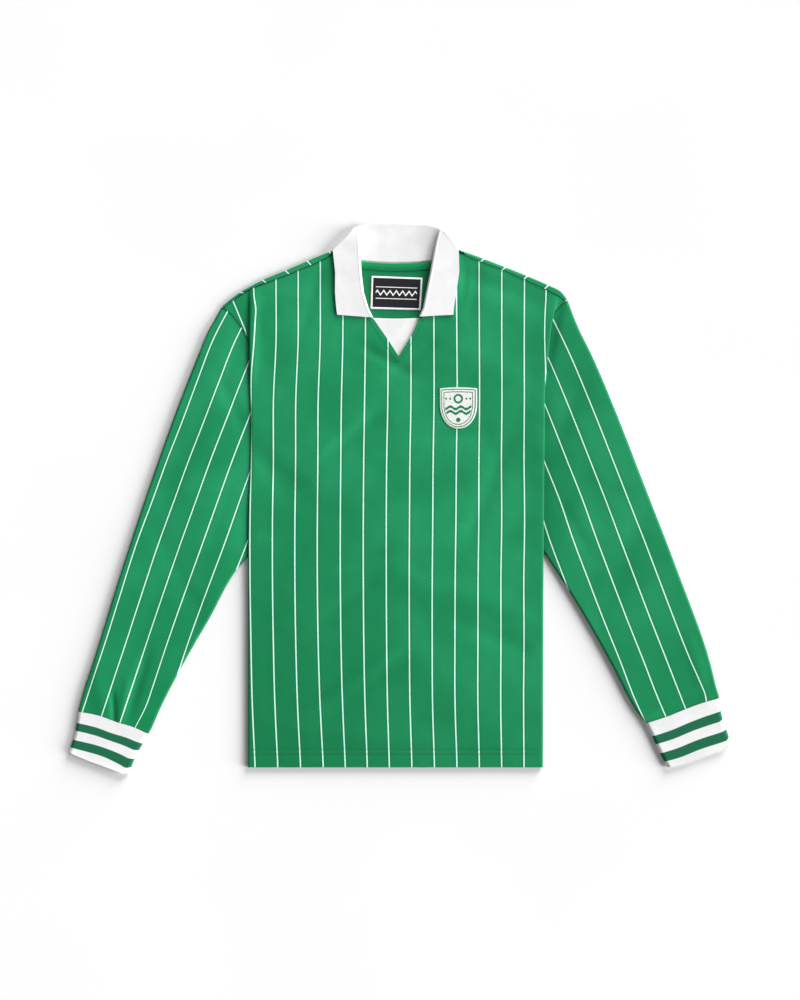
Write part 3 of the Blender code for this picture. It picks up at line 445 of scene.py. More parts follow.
def along(rows: Rows, at: Any) -> Array:
    """Points at shares of the length of a smooth curve through a table's rows.

    Args:
        rows: the table.
        at: the shares, from 0 to 1.

    Returns:
        A point for each share.
    """
    points = np.array(rows, float)
    length = lengths(points)
    return smooth(length, points, np.asarray(at, float) * length[-1])


def through(points: Array, places: Array) -> Array:
    """Points of a smooth curve through the given ones, at places counted in points."""
    length = lengths(points)
    return smooth(length, points, np.interp(places, np.arange(len(points)), length))


def evenly(rows: Rows, step: float) -> Array:
    """Points about a step apart on a smooth curve through a table's rows, both ends included.

    Args:
        rows: the table.
        step: the wanted distance.

    Returns:
        The points, one a row.
    """
    points = np.array(rows, float)
    count = max(2, int(round(lengths(points)[-1] / step)) + 1)
    return along(points, np.linspace(0, 1, count))


def ease(x: Any) -> Array:
    """A soft step from 0 to 1 as x goes from 0 to 1."""
    x = np.clip(x, 0.0, 1.0)
    return x * x * (3 - 2 * x)


def side_value(name: str, y: Any) -> Array:
    """A column of the side table at the heights y."""
    return np.interp(y, [row.y for row in SIDES], [getattr(row, name) for row in SIDES])


def fold_x(side: Side, y: Any) -> Array:
    """Where the front's side fold runs.

    Args:
        side: which fold.
        y: heights up from the hem.

    Returns:
        x of the fold at each height.
    """
    y = np.asarray(y, float)
    known, values = zip(*((row.y, getattr(row, side.value)) for row in SIDES))
    return smooth(known, values, y.ravel()).reshape(y.shape)


def distance_to(points: Array, rows: Rows) -> Array:
    """Distance of each point (x, y) from the line through a table's rows.

    Args:
        points: (..., 2) places.
        rows: the corners of the line.

    Returns:
        Distance of each place.
    """
    line = np.array(rows, float)
    start, step = line[:-1], np.diff(line, axis=0)
    best = np.full(points.shape[:-1], 1e9)
    for a, b in zip(start, step):
        gap = points - a
        share = np.clip((gap * b).sum(-1) / max((b**2).sum(), 1e-12), 0, 1)
        best = np.minimum(best, np.linalg.norm(gap - share[..., None] * b, axis=-1))
    return best


def creases_at(creases: Sequence[Crease], x: Array, y: Array) -> Array:
    """Sum of the soft troughs and ridges at x, y.

    Args:
        creases: which of them.
        x: places across.
        y: places up.

    Returns:
        Height to add at each place.
    """
    total = np.zeros(np.broadcast(x, y).shape)
    for c in creases:
        dx, dy = c.x1 - c.x0, c.y1 - c.y0
        length = np.hypot(dx, dy)
        share = ((x - c.x0) * dx + (y - c.y0) * dy) / length**2
        off = ((x - c.x0) * dy - (y - c.y0) * dx) / length
        beyond = np.maximum(np.maximum(-share, share - 1), 0) * length
        total = total + c.depth * np.exp(-((off / c.width) ** 2) - (beyond / (3.0 * c.width)) ** 2)
    return total


def front_height(x: Array, y: Array) -> Array:
    """Outer face of the front: level, lower at the shoulders, lifted along its side folds, and creased.

    Args:
        x: places across.
        y: places up from the hem.

    Returns:
        Height of the face at each place.
    """
    gaps = {RIGHT: x - fold_x(RIGHT, y), LEFT: fold_x(LEFT, y) - x}
    rise = sum(share * np.exp(-((gaps[side] / reach) ** 2)) for side, (share, reach) in FOLD_RISE.items())
    lift = side_value("rise", y) * rise
    shoulder = ease((y - 600) / 60)
    drop = (FRONT_HEIGHT - NECK_HEIGHT) * shoulder
    gap = np.minimum(gaps[RIGHT], gaps[LEFT])
    drop = drop + (NECK_HEIGHT - SHOULDER_END_HEIGHT) * shoulder * (1 - ease((gap + 40) / 60))
    hem = sum(dip * np.exp(-(((y - line) / HEM_DIP_WIDTH) ** 2)) for line, dip in zip(HEM_LINES, HEM_DIPS))
    inside = ease((gap - 6) / 22)
    fine = FINE_DEPTH * creases_at(FRONT_CREASES, x, y) * inside * ease((720 - y) / 20)
    return FRONT_HEIGHT - drop + lift + creases_at(CREASES, x, y) + fine - hem * inside


def coons(low: Array, high: Array, start: Array, end: Array, across: Array, up: Array) -> Array:
    """Grid of points between four boundary curves: low and high run across, start and end run up.

    Args:
        low: first row of points.
        high: last row.
        start: first column.
        end: last column.
        across: share of each column.
        up: share of each row.

    Returns:
        (rows, columns, 2) points.
    """
    s, t = across[None, :, None], up[:, None, None]
    ruled_across = (1 - s) * start[:, None, :] + s * end[:, None, :]
    ruled_up = (1 - t) * low[None] + t * high[None]
    corners = (1 - t) * ((1 - s) * low[0] + s * low[-1]) + t * ((1 - s) * high[0] + s * high[-1])
    return ruled_across + ruled_up - corners


def face_normals(grid: Array) -> Array:
    """Unit normals of a grid of points, from the steps along its rows and columns."""
    n = np.cross(np.gradient(grid, axis=1), np.gradient(grid, axis=0))
    return n / np.linalg.norm(n, axis=-1, keepdims=True)


# ---------------------------------------------------------------- meshes


def new_piece(name: str, points: Array, faces: Array, corners: Array, slots: Array | None = None) -> Piece:
    """A mesh object from points in millimetres, with its faces turned outwards.

    Args:
        name: the piece's name.
        points: (n, 3) places.
        faces: (m, 4) numbers of points.
        corners: (m, 4, 2) place of each corner on the flat cloth, in metres.
        slots: material number of each face.

    Returns:
        The object, whose UV map "cloth" holds the flat places.
    """
    points = (points - np.array([*PLAN_CENTRE, 0.0])) * MM
    a, b, c, d = (points[faces[:, k]] for k in range(4))
    # The volume under the faces is negative where they look inwards
    if (np.einsum("ij,ij->i", a, np.cross(b, c)) + np.einsum("ij,ij->i", a, np.cross(c, d))).sum() < 0:
        faces, corners = faces[:, ::-1], corners[:, ::-1]
    mesh = bpy.data.meshes.new(name)
    mesh.vertices.add(len(points))
    mesh.vertices.foreach_set("co", points.ravel())
    mesh.loops.add(faces.size)
    mesh.loops.foreach_set("vertex_index", faces.ravel().astype(np.int32))
    mesh.polygons.add(len(faces))
    mesh.polygons.foreach_set("loop_start", np.arange(0, faces.size, 4, dtype=np.int32))
    if slots is not None:
        mesh.polygons.foreach_set("material_index", slots.astype(np.int32))
    mesh.uv_layers.new(name="cloth").uv.foreach_set("vector", corners.astype(np.float32).ravel())
    mesh.update(calc_edges=True)
    mesh.validate()
    mesh.shade_smooth()
    mesh.set_sharp_from_angle(angle=math.radians(SHARP_ANGLE))
    made = bpy.data.objects.new(name, mesh)
    bpy.context.scene.collection.objects.link(made)
    return made


def wall(name: str, outer: Array, inner: Array, starts: Array, ends: Array, closed: bool = False) -> Piece:
    """A closed wall between two grids. A closed one is a tube, which stays open at both ends.

    Args:
        name: the piece's name.
        outer: (rows, columns, 3) points of the outer face.
        inner: the same for the inner face.
        starts: (rows, faces, 2) flat place where each face of a row starts, in metres.
        ends: the same where it ends.
        closed: True for a tube.

    Returns:
        The piece. Its inner face has material number 1.
    """
    rows, columns = outer.shape[:2]
    count = rows * columns
    j = np.arange(rows - 1)[:, None]
    i = np.arange(columns if closed else columns - 1)[None, :]
    k = (i + 1) % columns
    this, later = j * columns, (j + 1) * columns
    cells = np.stack([this + i, this + k, later + k, later + i], -1).reshape(-1, 4)
    flat = np.stack([starts[:-1], ends[:-1], ends[1:], starts[1:]], 2).reshape(-1, 4, 2)
    i, k, top = i[0], k[0], (rows - 1) * columns
    rims = [
        np.stack([k, i, count + i, count + k], -1),
        np.stack([top + i, top + k, count + top + k, count + top + i], -1),
    ]
    flats = [
        np.stack([ends[0], starts[0], starts[0], ends[0]], 1),
        np.stack([starts[-1], ends[-1], ends[-1], starts[-1]], 1),
    ]
    if not closed:
        low = j[:, 0] * columns
        high, last = low + columns, columns - 1
        rims.append(np.stack([low, high, count + high, count + low], -1))
        rims.append(np.stack([high + last, low + last, count + low + last, count + high + last], -1))
        flats.append(np.stack([starts[:-1, 0], starts[1:, 0], starts[1:, 0], starts[:-1, 0]], 1))
        flats.append(np.stack([ends[1:, -1], ends[:-1, -1], ends[:-1, -1], ends[1:, -1]], 1))
    faces = np.concatenate([cells, cells[:, ::-1] + count, *rims])
    corners = np.concatenate([flat, flat[:, ::-1], *flats])
    slots = np.zeros(len(faces))
    slots[len(cells) : 2 * len(cells)] = 1
    points = np.concatenate([outer.reshape(-1, 3), inner.reshape(-1, 3)])
    return new_piece(name, points, faces, corners, slots)


def open_wall(name: str, outer: Array, inner: Array, flat: Array) -> Piece:
    """A wall whose flat places are given for each point of its grid."""
    return wall(name, outer, inner, flat[:, :-1], flat[:, 1:])


def add_values(piece: Piece, name: str, values: Array) -> None:
    """Gives each point of a piece a number, which its material or its node tree reads."""
    attribute = piece.data.attributes.new(name, "FLOAT", "POINT")
    attribute.data.foreach_set("value", np.asarray(values, np.float32).ravel())


def mark_folds(piece: Piece) -> Piece:
    """Marks how steeply each point of a cloth lies, from 0 on the level to 1 on the edge of a fold.

    Args:
        piece: the cloth.

    Returns:
        The same piece, with the attribute "steep", which the jersey reads for painted shade on folds.
    """
    normals = np.empty(3 * len(piece.data.vertices), np.float32)
    piece.data.vertices.foreach_get("normal", normals)
    add_values(piece, "steep", 1 - np.abs(normals[2::3]))
    return piece


def dress(piece: Piece, node: str, *materials: Material) -> Piece:
    """Gives a piece its materials, its body and the solid that it stands for.

    Args:
        piece: the piece.
        node: the solid's name.
        materials: those of its outer and inner face.

    Returns:
        The same piece.
    """
    if not piece.data.materials:
        for material in materials:
            piece.data.materials.append(material)
    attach(piece, "root")
    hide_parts(node)
    LOG.info("%s: %d faces", piece.name, len(piece.data.polygons))
    return piece


# ---------------------------------------------------------------- finishes


def linear(code: str) -> tuple[float, float, float, float]:
    """An sRGB hex colour as linear red, green, blue and alpha.

    Args:
        code: the colour, as #RRGGBB.

    Returns:
        Four numbers from 0 to 1.
    """
    parts = [int(code[i : i + 2], 16) / 255 for i in (1, 3, 5)]
    red, green, blue = (c / 12.92 if c <= 0.04045 else ((c + 0.055) / 1.055) ** 2.4 for c in parts)
    return (red, green, blue, 1.0)


def add(
    tree: Tree, kind: str, inputs: dict[Any, Any] | None = None, out: int | str = 0, **settings: Any
) -> Socket | None:
    """Adds a node with its settings and links.

    Args:
        tree: the tree it goes into.
        kind: the node's type name.
        inputs: for each input, a number or colour, or the output that is linked to it.
        out: number or name of the output that is wanted.
        settings: the node's own properties.

    Returns:
        That output, or None where the node has none.
    """
    node = tree.nodes.new(kind)
    for name, value in settings.items():
        setattr(node, name, value)
    for key, value in (inputs or {}).items():
        if isinstance(value, Socket):
            tree.links.new(value, node.inputs[key])
        else:
            node.inputs[key].default_value = value
    return node.outputs[out] if node.outputs else None


def new_material(name: str, surface: dict[str, float]) -> tuple[Material, Tree, Node]:
    """A material with one shader.

    Args:
        name: the material's name.
        surface: the shader's constant inputs.

    Returns:
        The material, its tree and the shader, whose colour and normal are still to be linked.
    """
    material = bpy.data.materials.new(name)
    material.use_nodes = True
    tree = material.node_tree
    tree.nodes.clear()
    bsdf = add(tree, "ShaderNodeBsdfPrincipled", surface)
    add(tree, "ShaderNodeOutputMaterial", {"Surface": bsdf})
    return material, tree, bsdf.node


def flat_places(tree: Tree) -> tuple[Socket, Socket]:
    """The two coordinates of the flat cloth, in metres: across and down."""
    place = add(tree, "ShaderNodeUVMap", uv_map="cloth")
    return tuple(add(tree, "ShaderNodeSeparateXYZ", {0: place}).node.outputs[:2])


def noise(tree: Tree, size: float, detail: float = 2.0, roughness: float = 0.5) -> Socket:
    """Uneven numbers about 0.5, in blotches.

    Args:
        tree: the material's tree.
        size: of a blotch, in millimetres.
        detail: how many finer layers it has.
        roughness: how strong these are.

    Returns:
        The numbers.
    """
    place = add(tree, "ShaderNodeTexCoord", out="Object")
    inputs = {"Vector": place, "Scale": 1.0 / (size * MM), "Detail": detail, "Roughness": roughness}
    return add(tree, "ShaderNodeTexNoise", inputs)


def ribbing(tree: Tree, place: Socket, pitch: float) -> Socket:
    """Rounded ridges from 0 to 1 across one flat coordinate.

    Args:
        tree: the material's tree.
        place: the coordinate, in metres.
        pitch: from one ridge to the next, in millimetres.

    Returns:
        The height, 1 on a ridge.
    """
    turn = add(tree, "ShaderNodeMath", {0: place, 1: 2 * math.pi / (pitch * MM)}, operation="MULTIPLY")
    wave = add(tree, "ShaderNodeMath", {0: turn}, operation="COSINE")
    return add(tree, "ShaderNodeMath", {0: wave, 1: 0.5, 2: 0.5}, operation="MULTIPLY_ADD")


def tinted(
    tree: Tree, ground: Any, colour: Any, value: Socket, span: Pair, shares: Pair = (0.0, 1.0)
) -> Socket:
    """A ground colour that another one covers, more or less, as a value goes up.

    Args:
        tree: the material's tree.
        ground: the first colour, as #RRGGBB, numbers or an output.
        colour: the one that covers it, in the same way.
        value: the number that it depends on.
        span: the value where the change starts and where it ends.
        shares: how much the second colour covers before and after.

    Returns:
        The colour of both.
    """
    ends = {"From Min": span[0], "From Max": span[1], "To Min": shares[0], "To Max": shares[1]}
    share = add(tree, "ShaderNodeMapRange", {"Value": value} | ends, interpolation_type="SMOOTHSTEP")
    under, over = (linear(part) if isinstance(part, str) else part for part in (ground, colour))
    return add(tree, "ShaderNodeMix", {0: share, 6: under, 7: over}, 2, data_type="RGBA")


def uneven(
    tree: Tree, size: float, depth: float, strength: float, detail: float = 2.0, roughness: float = 0.5
) -> Socket:
    """The surface's direction over soft uneven waves.

    Args:
        tree: the material's tree.
        size: of a wave, in millimetres.
        depth: of the waves, in millimetres.
        strength: how much of them shows.
        detail: how many finer layers they have.
        roughness: how strong these are.

    Returns:
        The direction.
    """
    height = noise(tree, size, detail, roughness)
    return add(tree, "ShaderNodeBump", {"Height": height, "Distance": depth * MM, "Strength": strength})


@dataclass(frozen=True)
class Jersey:
    """Polyester interlock jersey, weft knitted and dyed: a soft satin face with a faint sheen along folds.

    The pinstripes are knitted in, minty white, with painted shade on both sides where the cloth sinks. The
    wales are 0.8 mm apart and the courses 1 mm, too fine to show, so they are drawn three times as coarse.
    """

    name: str = "interlock_jersey"
    lit: str = "#1D9460"
    deep: str = "#118854"
    low: str = "#0D8450"  # painted shade, darker towards the hem and the cuffs
    shade_lean: float = 0.0  # how much x counts beside y in how far down a place is, for that painted shade
    shade_fall: tuple[float, float, float] = (-0.34, 0.02, 0.7)  # where the painted shade ends and starts, and its share
    fold: str = "#0A5F3C"  # painted shade along the steep edges of folds
    striped: bool = True
    stripe: str = "#D6FFEE"
    # painted shade beside each stripe
    edge: str = "#0C6F48"
    stripe_shade_span: Pair = (0.070, 0.108)  # where the painted shade beside the stripe fades, in pitches from it
    stripe_span: Pair = (0.020, 0.034)  # where the stripe itself does
    wale: float = 2.4
    course: float = 3.0

    def make(self) -> Material:
        """Builds the material.

        Returns:
            The jersey, striped or plain.
        """
        surface = {"Roughness": 0.62, "IOR": 1.46, "Specular IOR Level": 0.22, "Sheen Weight": 0.05}
        material, tree, shader = new_material(self.name, surface | {"Sheen Roughness": 0.4})
        across, down = flat_places(tree)
        colour = self.dyed(tree)
        if self.striped:
            colour = self.with_stripes(tree, colour, across)
        tree.links.new(colour, shader.inputs["Base Color"])
        waves = uneven(tree, 60, 2.4, 0.5, roughness=0.45)
        ripples = {"Height": noise(tree, 17), "Distance": 0.35 * MM, "Strength": 0.5, "Normal": waves}
        soft = add(tree, "ShaderNodeBump", ripples)
        loops = {0: ribbing(tree, across, self.wale), 1: ribbing(tree, down, self.course)}
        knit = add(tree, "ShaderNodeMath", loops, operation="MULTIPLY")
        relief = {"Height": knit, "Distance": 0.04 * MM, "Strength": 0.5, "Normal": soft}
        tree.links.new(add(tree, "ShaderNodeBump", relief), shader.inputs["Normal"])
        return material

    def dyed(self, tree: Tree) -> Socket:
        """The ground: faintly blotched, with painted shade low down and along the edges of folds.

        Args:
            tree: the material's tree.

        Returns:
            The colour.
        """
        colour = tinted(tree, self.deep, self.lit, noise(tree, 95), (0.34, 0.66))
        place = add(tree, "ShaderNodeTexCoord", out="Object")
        x, y = add(tree, "ShaderNodeSeparateXYZ", {0: place}).node.outputs[:2]
        height = add(tree, "ShaderNodeMath", {0: x, 1: self.shade_lean, 2: y}, operation="MULTIPLY_ADD")
        bottom, top, share = self.shade_fall
        # painted shade, darker low down
        colour = tinted(tree, colour, self.low, height, (bottom, top), (share, 0.0))
        colour = tinted(tree, colour, self.deep, noise(tree, 4.0, 1.0), (0.3, 0.7), (0.0, 0.1))
        # painted shade on the steep edges of folds
        steep = add(tree, "ShaderNodeAttribute", out="Fac", attribute_name="steep")
        return tinted(tree, colour, self.fold, steep, (0.04, 0.5), (0.0, 0.8))

    def with_stripes(self, tree: Tree, colour: Socket, across: Socket) -> Socket:
        """The pinstripes on the ground, each between two lines of painted shade.

        Args:
            tree: the material's tree.
            colour: the ground.
            across: place across the stripes, in metres.

        Returns:
            The colour of both.
        """
        count = add(tree, "ShaderNodeMath", {0: across, 1: 1.0 / (STRIPE_PITCH * MM)}, operation="MULTIPLY")
        off = add(tree, "ShaderNodeMath", {0: count, 1: 0.5}, operation="PINGPONG")
        # painted shade on both sides of each stripe
        colour = tinted(tree, colour, self.edge, off, self.stripe_shade_span, (0.42, 0.0))
        return tinted(tree, colour, self.stripe, off, self.stripe_span, (1.0, 0.0))


@dataclass(frozen=True)
class FlatRib:
    """Flat-knit rib in white cotton and polyester: matt, with fine upright wales.

    The wales are 1.3 mm apart and drawn twice as coarse. The cuffs' rib has two green bands knitted in.
    """

    name: str = "flat_knit_rib_white"
    white: str = "#F2F2F1"
    # random tone, and painted shade in the grooves between the wales
    shade: str = "#EAEAEB"
    band: str = "#196B49"
    # painted shade in the grooves of the green bands
    band_shade: str = "#155C3E"
    banded: bool = False
    band_blur: float = 0.006
    wale: float = 2.6
    relief: float = 0.035

    def make(self) -> Material:
        """Builds the material.

        Returns:
            The rib, with or without its bands.
        """
        surface = {"Roughness": 0.85, "IOR": 1.45, "Specular IOR Level": 0.25}
        material, tree, shader = new_material(self.name, surface)
        across, down = flat_places(tree)
        wales = ribbing(tree, across, self.wale)
        colour = tinted(tree, self.shade, self.white, noise(tree, 30), (0.35, 0.65))
        # painted shade in the grooves between the wales
        colour = tinted(tree, colour, self.shade, wales, (0.0, 0.6), (0.3, 0.0))
        if self.banded:
            # the bands' green, with painted shade in their grooves
            green = tinted(tree, self.band, self.band_shade, wales, (0.0, 0.6), (0.25, 0.0))
            for start, end in (BAND_EDGES[:2], BAND_EDGES[2:]):
                begun = tinted(tree, colour, green, down, (start - self.band_blur, start + self.band_blur))
                colour = tinted(tree, begun, colour, down, (end - self.band_blur, end + self.band_blur))
        tree.links.new(colour, shader.inputs["Base Color"])
        soft = uneven(tree, 40, 0.8, 0.4, detail=1.0)
        relief = {"Height": wales, "Distance": self.relief * MM, "Strength": 0.6, "Normal": soft}
        tree.links.new(add(tree, "ShaderNodeBump", relief), shader.inputs["Normal"])
        return material


@dataclass(frozen=True)
class Tape:
    """Plain-woven polyester tape, dyed bright green: flat, with fine cross ribs, darker below its middle."""

    name: str = "woven_neck_tape_green"
    green: str = "#009653"
    dark: str = "#0A8450"
    dark_span: Pair = (0.0045, 0.0062)  # where it darkens, in metres from its upper edge
    rib: float = 1.6

    def make(self) -> Material:
        """Builds the material.

        Returns:
            The tape.
        """
        surface = {"Roughness": 0.7, "IOR": 1.46, "Specular IOR Level": 0.2}
        material, tree, shader = new_material(self.name, surface)
        across, down = flat_places(tree)
        colour = tinted(tree, self.green, self.dark, down, self.dark_span)
        tree.links.new(colour, shader.inputs["Base Color"])
        relief = {"Height": ribbing(tree, across, self.rib), "Distance": 0.1 * MM, "Strength": 0.5}
        tree.links.new(add(tree, "ShaderNodeBump", relief), shader.inputs["Normal"])
        return material


@dataclass(frozen=True)
class WovenLabel:
    """Damask-woven polyester label: black satin ground, pale border and motif in a thicker weft."""

    name: str = "damask_label_black"
    black: str = "#26252B"
    pale: str = "#FFFFFB"
    blur: float = 0.25  # half the way over which black turns into pale
    thread: float = 1.5

    def make(self) -> Material:
        """Builds the material.

        Returns:
            The label, pale where the attribute "pale" is above 0.
        """
        surface = {"Roughness": 0.5, "IOR": 1.46, "Specular IOR Level": 0.2}
        material, tree, shader = new_material(self.name, surface)
        across, down = flat_places(tree)
        pale = add(tree, "ShaderNodeAttribute", out="Fac", attribute_name="pale")
        colour = tinted(tree, self.black, self.pale, pale, (-self.blur, self.blur))
        tree.links.new(colour, shader.inputs["Base Color"])
        step = {"Value": pale, "From Min": -self.blur, "From Max": self.blur}
        raised = add(tree, "ShaderNodeMapRange", step, interpolation_type="SMOOTHSTEP")
        soft = uneven(tree, 20, 0.8, 0.5)
        relief = {"Height": raised, "Distance": 0.2 * MM, "Strength": 0.6, "Normal": soft}
        soft = add(tree, "ShaderNodeBump", relief)
        threads = {0: ribbing(tree, across, self.thread), 1: ribbing(tree, down, self.thread)}
        weave = add(tree, "ShaderNodeMath", threads, operation="MULTIPLY")
        relief = {"Height": weave, "Distance": 0.08 * MM, "Strength": 0.5, "Normal": soft}
        tree.links.new(add(tree, "ShaderNodeBump", relief), shader.inputs["Normal"])
        return material


@dataclass(frozen=True)
class Embroidery:
    """Rayon machine embroidery on twill: glossy slanted threads, white with green motifs and a sewn edge.

    The threads are 0.4 mm apart and drawn three times as coarse.
    """

    name: str = "rayon_embroidery"
    white: str = "#F6F7F5"
    warm: str = "#E6EAE0"
    rim: str = "#E3F2E9"
    green: str = "#147A4E"
    dark: str = "#0F5A3B"
    rim_end: Pair = (1.9, 2.2)  # where the rim gives way to a dark line, in from the outline
    line_end: Pair = (3.1, 3.4)  # where that line gives way to the field
    thread: float = 1.2
    slant: float = 0.45

    def make(self) -> Material:
        """Builds the material.

        Returns:
            The embroidery. It is green where the attribute "green" is above 0, and the attribute "edge" is
            the distance from its outline in millimetres.
        """
        surface = {"Roughness": 0.42, "IOR": 1.5, "Sheen Weight": 0.15}
        material, tree, shader = new_material(self.name, surface)
        across, down = flat_places(tree)
        green = add(tree, "ShaderNodeAttribute", out="Fac", attribute_name="green")
        edge = add(tree, "ShaderNodeAttribute", out="Fac", attribute_name="edge")
        slanted = add(tree, "ShaderNodeMath", {0: down, 1: self.slant, 2: across}, operation="MULTIPLY_ADD")
        threads = ribbing(tree, slanted, self.thread)
        field = tinted(tree, self.warm, self.white, noise(tree, 3.0, 1.0), (0.4, 0.6))
        field = tinted(tree, field, self.green, green, (-0.2, 0.2))
        border = tinted(tree, self.rim, self.dark, edge, self.rim_end)
        colour = tinted(tree, border, field, edge, self.line_end)
        # painted shade between the slanted threads
        colour = tinted(tree, colour, self.dark, threads, (0.0, 0.5), (0.12, 0.0))
        tree.links.new(colour, shader.inputs["Base Color"])
        steps = (
            {"Value": edge, "From Min": 1.9, "From Max": 2.4, "To Min": 1.0, "To Max": 0.0},
            {"Value": green, "From Min": -0.3, "From Max": 0.3},
        )
        raised = [add(tree, "ShaderNodeMapRange", step, interpolation_type="SMOOTHSTEP") for step in steps]
        rise = add(tree, "ShaderNodeMath", dict(enumerate(raised)), operation="ADD")
        padding = add(tree, "ShaderNodeBump", {"Height": rise, "Distance": 0.35 * MM, "Strength": 0.7})
        relief = {"Height": threads, "Distance": 0.08 * MM, "Strength": 0.5, "Normal": padding}
        tree.links.new(add(tree, "ShaderNodeBump", relief), shader.inputs["Normal"])
        return material


@dataclass(frozen=True)
class Thread:
    """Spun polyester sewing thread: matt, twisted, a shade off the cloth that it's sewn through."""

    name: str
    colour: str
    twist_highlight: float = 1.5  # painted highlight: how much lighter its raised twists are

    def make(self) -> Material:
        """Builds the material.

        Returns:
            The thread.
        """
        surface = {"Roughness": 0.7, "IOR": 1.46, "Sheen Weight": 0.1}
        material, tree, shader = new_material(self.name, surface)
        base = linear(self.colour)
        twist_highlight = (*(min(1.0, self.twist_highlight * part) for part in base[:3]), 1.0)
        # painted highlight, at random, on the raised twists
        colour = tinted(tree, base, twist_highlight, noise(tree, 0.6, 1.0), (0.35, 0.65), (0.0, 0.5))
        tree.links.new(colour, shader.inputs["Base Color"])
        return material


@dataclass(frozen=True)
class Paper:
    """Seamless white background paper: matt and even."""

    name: str = "background_paper"
    white: str = "#F7F7F7"
    shade: str = "#F5F5F5"

    def make(self) -> Material:
        """Builds the material.

        Returns:
            The paper.
        """
        material, tree, shader = new_material(self.name, {"Roughness": 0.95, "IOR": 1.4})
        colour = tinted(tree, self.shade, self.white, noise(tree, 300, 1.0), (0.3, 0.7))
        tree.links.new(colour, shader.inputs["Base Color"])
        return material


# ---------------------------------------------------------------- repeated detail


class NodeRecipe:
    """Base of the two Geometry Nodes trees: named inputs, and a plain mesh at the end."""

    title = "recipe"
    sizes: tuple[tuple[str, float], ...] = ()

    def __init__(self) -> None:
        """Builds the tree once."""
        self.tree = bpy.data.node_groups.new(self.title, "GeometryNodeTree")
        self.tree.interface.new_socket("Geometry", in_out="INPUT", socket_type="NodeSocketGeometry")
        for name, value in self.sizes:
            socket = self.tree.interface.new_socket(name, in_out="INPUT", socket_type="NodeSocketFloat")
            socket.default_value = value
        self.tree.interface.new_socket("Finish", in_out="INPUT", socket_type="NodeSocketMaterial")
        self.tree.interface.new_socket("Geometry", in_out="OUTPUT", socket_type="NodeSocketGeometry")
        entry = add(self.tree, "NodeGroupInput").node
        real = add(self.tree, "GeometryNodeRealizeInstances", {"Geometry": self.shape(entry)})
        inputs = {"Geometry": real, "Material": entry.outputs["Finish"]}
        done = add(self.tree, "GeometryNodeSetMaterial", inputs)
        add(self.tree, "NodeGroupOutput", {"Geometry": done})

    def shape(self, entry: Node) -> Socket:
        """Nodes between the group's input and the realized result."""
        return entry.outputs["Geometry"]

    def apply(self, piece: Piece, finish: Material, **sizes: float) -> Piece:
        """Runs the tree on a piece and keeps the result as a plain mesh.

        Args:
            piece: an object that the tree's Geometry input takes.
            finish: material of the result.
            sizes: values of the named inputs.

        Returns:
            The same object with its new mesh and no modifier.
        """
        modifier = piece.modifiers.new(self.title, "NODES")
        modifier.node_group = self.tree
        values = sizes | {"Finish": finish}
        for item in self.tree.interface.items_tree:
            if item.in_out == "INPUT" and item.name in values:
                modifier[item.identifier] = values[item.name]
        graph = bpy.context.evaluated_depsgraph_get()
        mesh = bpy.data.meshes.new_from_object(piece.evaluated_get(graph), depsgraph=graph)
        piece.modifiers.remove(modifier)
        old = piece.data
        piece.data = mesh
        mesh.name = piece.name
        bpy.data.meshes.remove(old)
        return piece


class StitchRow(NodeRecipe):
    """Stitches along lines: small rounded threads at an even pitch, each turned along its line."""

    title = "stitch_row"
    sizes = (("Pitch", 0.003), ("Length", 0.0022), ("Radius", 0.0003))

    def shape(self, entry: Node) -> Socket:
        """Resamples the lines and sets a thread on each point.

        Args:
            entry: the group's input.

        Returns:
            The threads, as instances.
        """
        tree, radius = self.tree, entry.outputs["Radius"]
        lines = add(tree, "GeometryNodeMeshToCurve", {"Mesh": entry.outputs["Geometry"]})
        resampling = {"Curve": lines, "Length": entry.outputs["Pitch"]}
        points = add(tree, "GeometryNodeResampleCurve", resampling, mode="LENGTH")
        bead = add(tree, "GeometryNodeMeshIcoSphere", {"Radius": 1.0, "Subdivisions": 1})
        smooth_bead = add(tree, "GeometryNodeSetShadeSmooth", {"Geometry": bead})
        half = add(tree, "ShaderNodeMath", {0: entry.outputs["Length"], 1: 0.5}, operation="MULTIPLY")
        scale = add(tree, "ShaderNodeCombineXYZ", {0: half, 1: radius, 2: radius})
        tangent = add(tree, "GeometryNodeInputTangent")
        turn = add(tree, "FunctionNodeAlignRotationToVector", {"Vector": tangent}, axis="X")
        inputs = {"Points": points, "Instance": smooth_bead, "Rotation": turn, "Scale": scale}
        return add(tree, "GeometryNodeInstanceOnPoints", inputs)


class RibRelief(NodeRecipe):
    """Ribs across a knitted piece: its faces sink between the wales, which the attribute "wale" counts."""

    title = "rib_relief"
    sizes = (("Depth", 0.0002),)

    def shape(self, entry: Node) -> Socket:
        """Moves each point inwards by a share of the depth.

        Args:
            entry: the group's input.

        Returns:
            The ribbed piece.
        """
        tree = self.tree
        wale = add(tree, "GeometryNodeInputNamedAttribute", {"Name": "wale"}, data_type="FLOAT").node
        count = next(out for out in wale.outputs if out.enabled and out.name == "Attribute")
        turn = add(tree, "ShaderNodeMath", {0: count, 1: 2 * math.pi}, operation="MULTIPLY")
        wave = add(tree, "ShaderNodeMath", {0: turn}, operation="COSINE")
        share = add(tree, "ShaderNodeMath", {0: wave, 1: 0.5, 2: -0.5}, operation="MULTIPLY_ADD")
        sink = add(tree, "ShaderNodeMath", {0: share, 1: entry.outputs["Depth"]}, operation="MULTIPLY")
        normal = add(tree, "GeometryNodeInputNormal")
        offset = add(tree, "ShaderNodeVectorMath", {0: normal, "Scale": sink}, operation="SCALE")
        inputs = {"Geometry": entry.outputs["Geometry"], "Offset": offset}
        return add(tree, "GeometryNodeSetPosition", inputs)


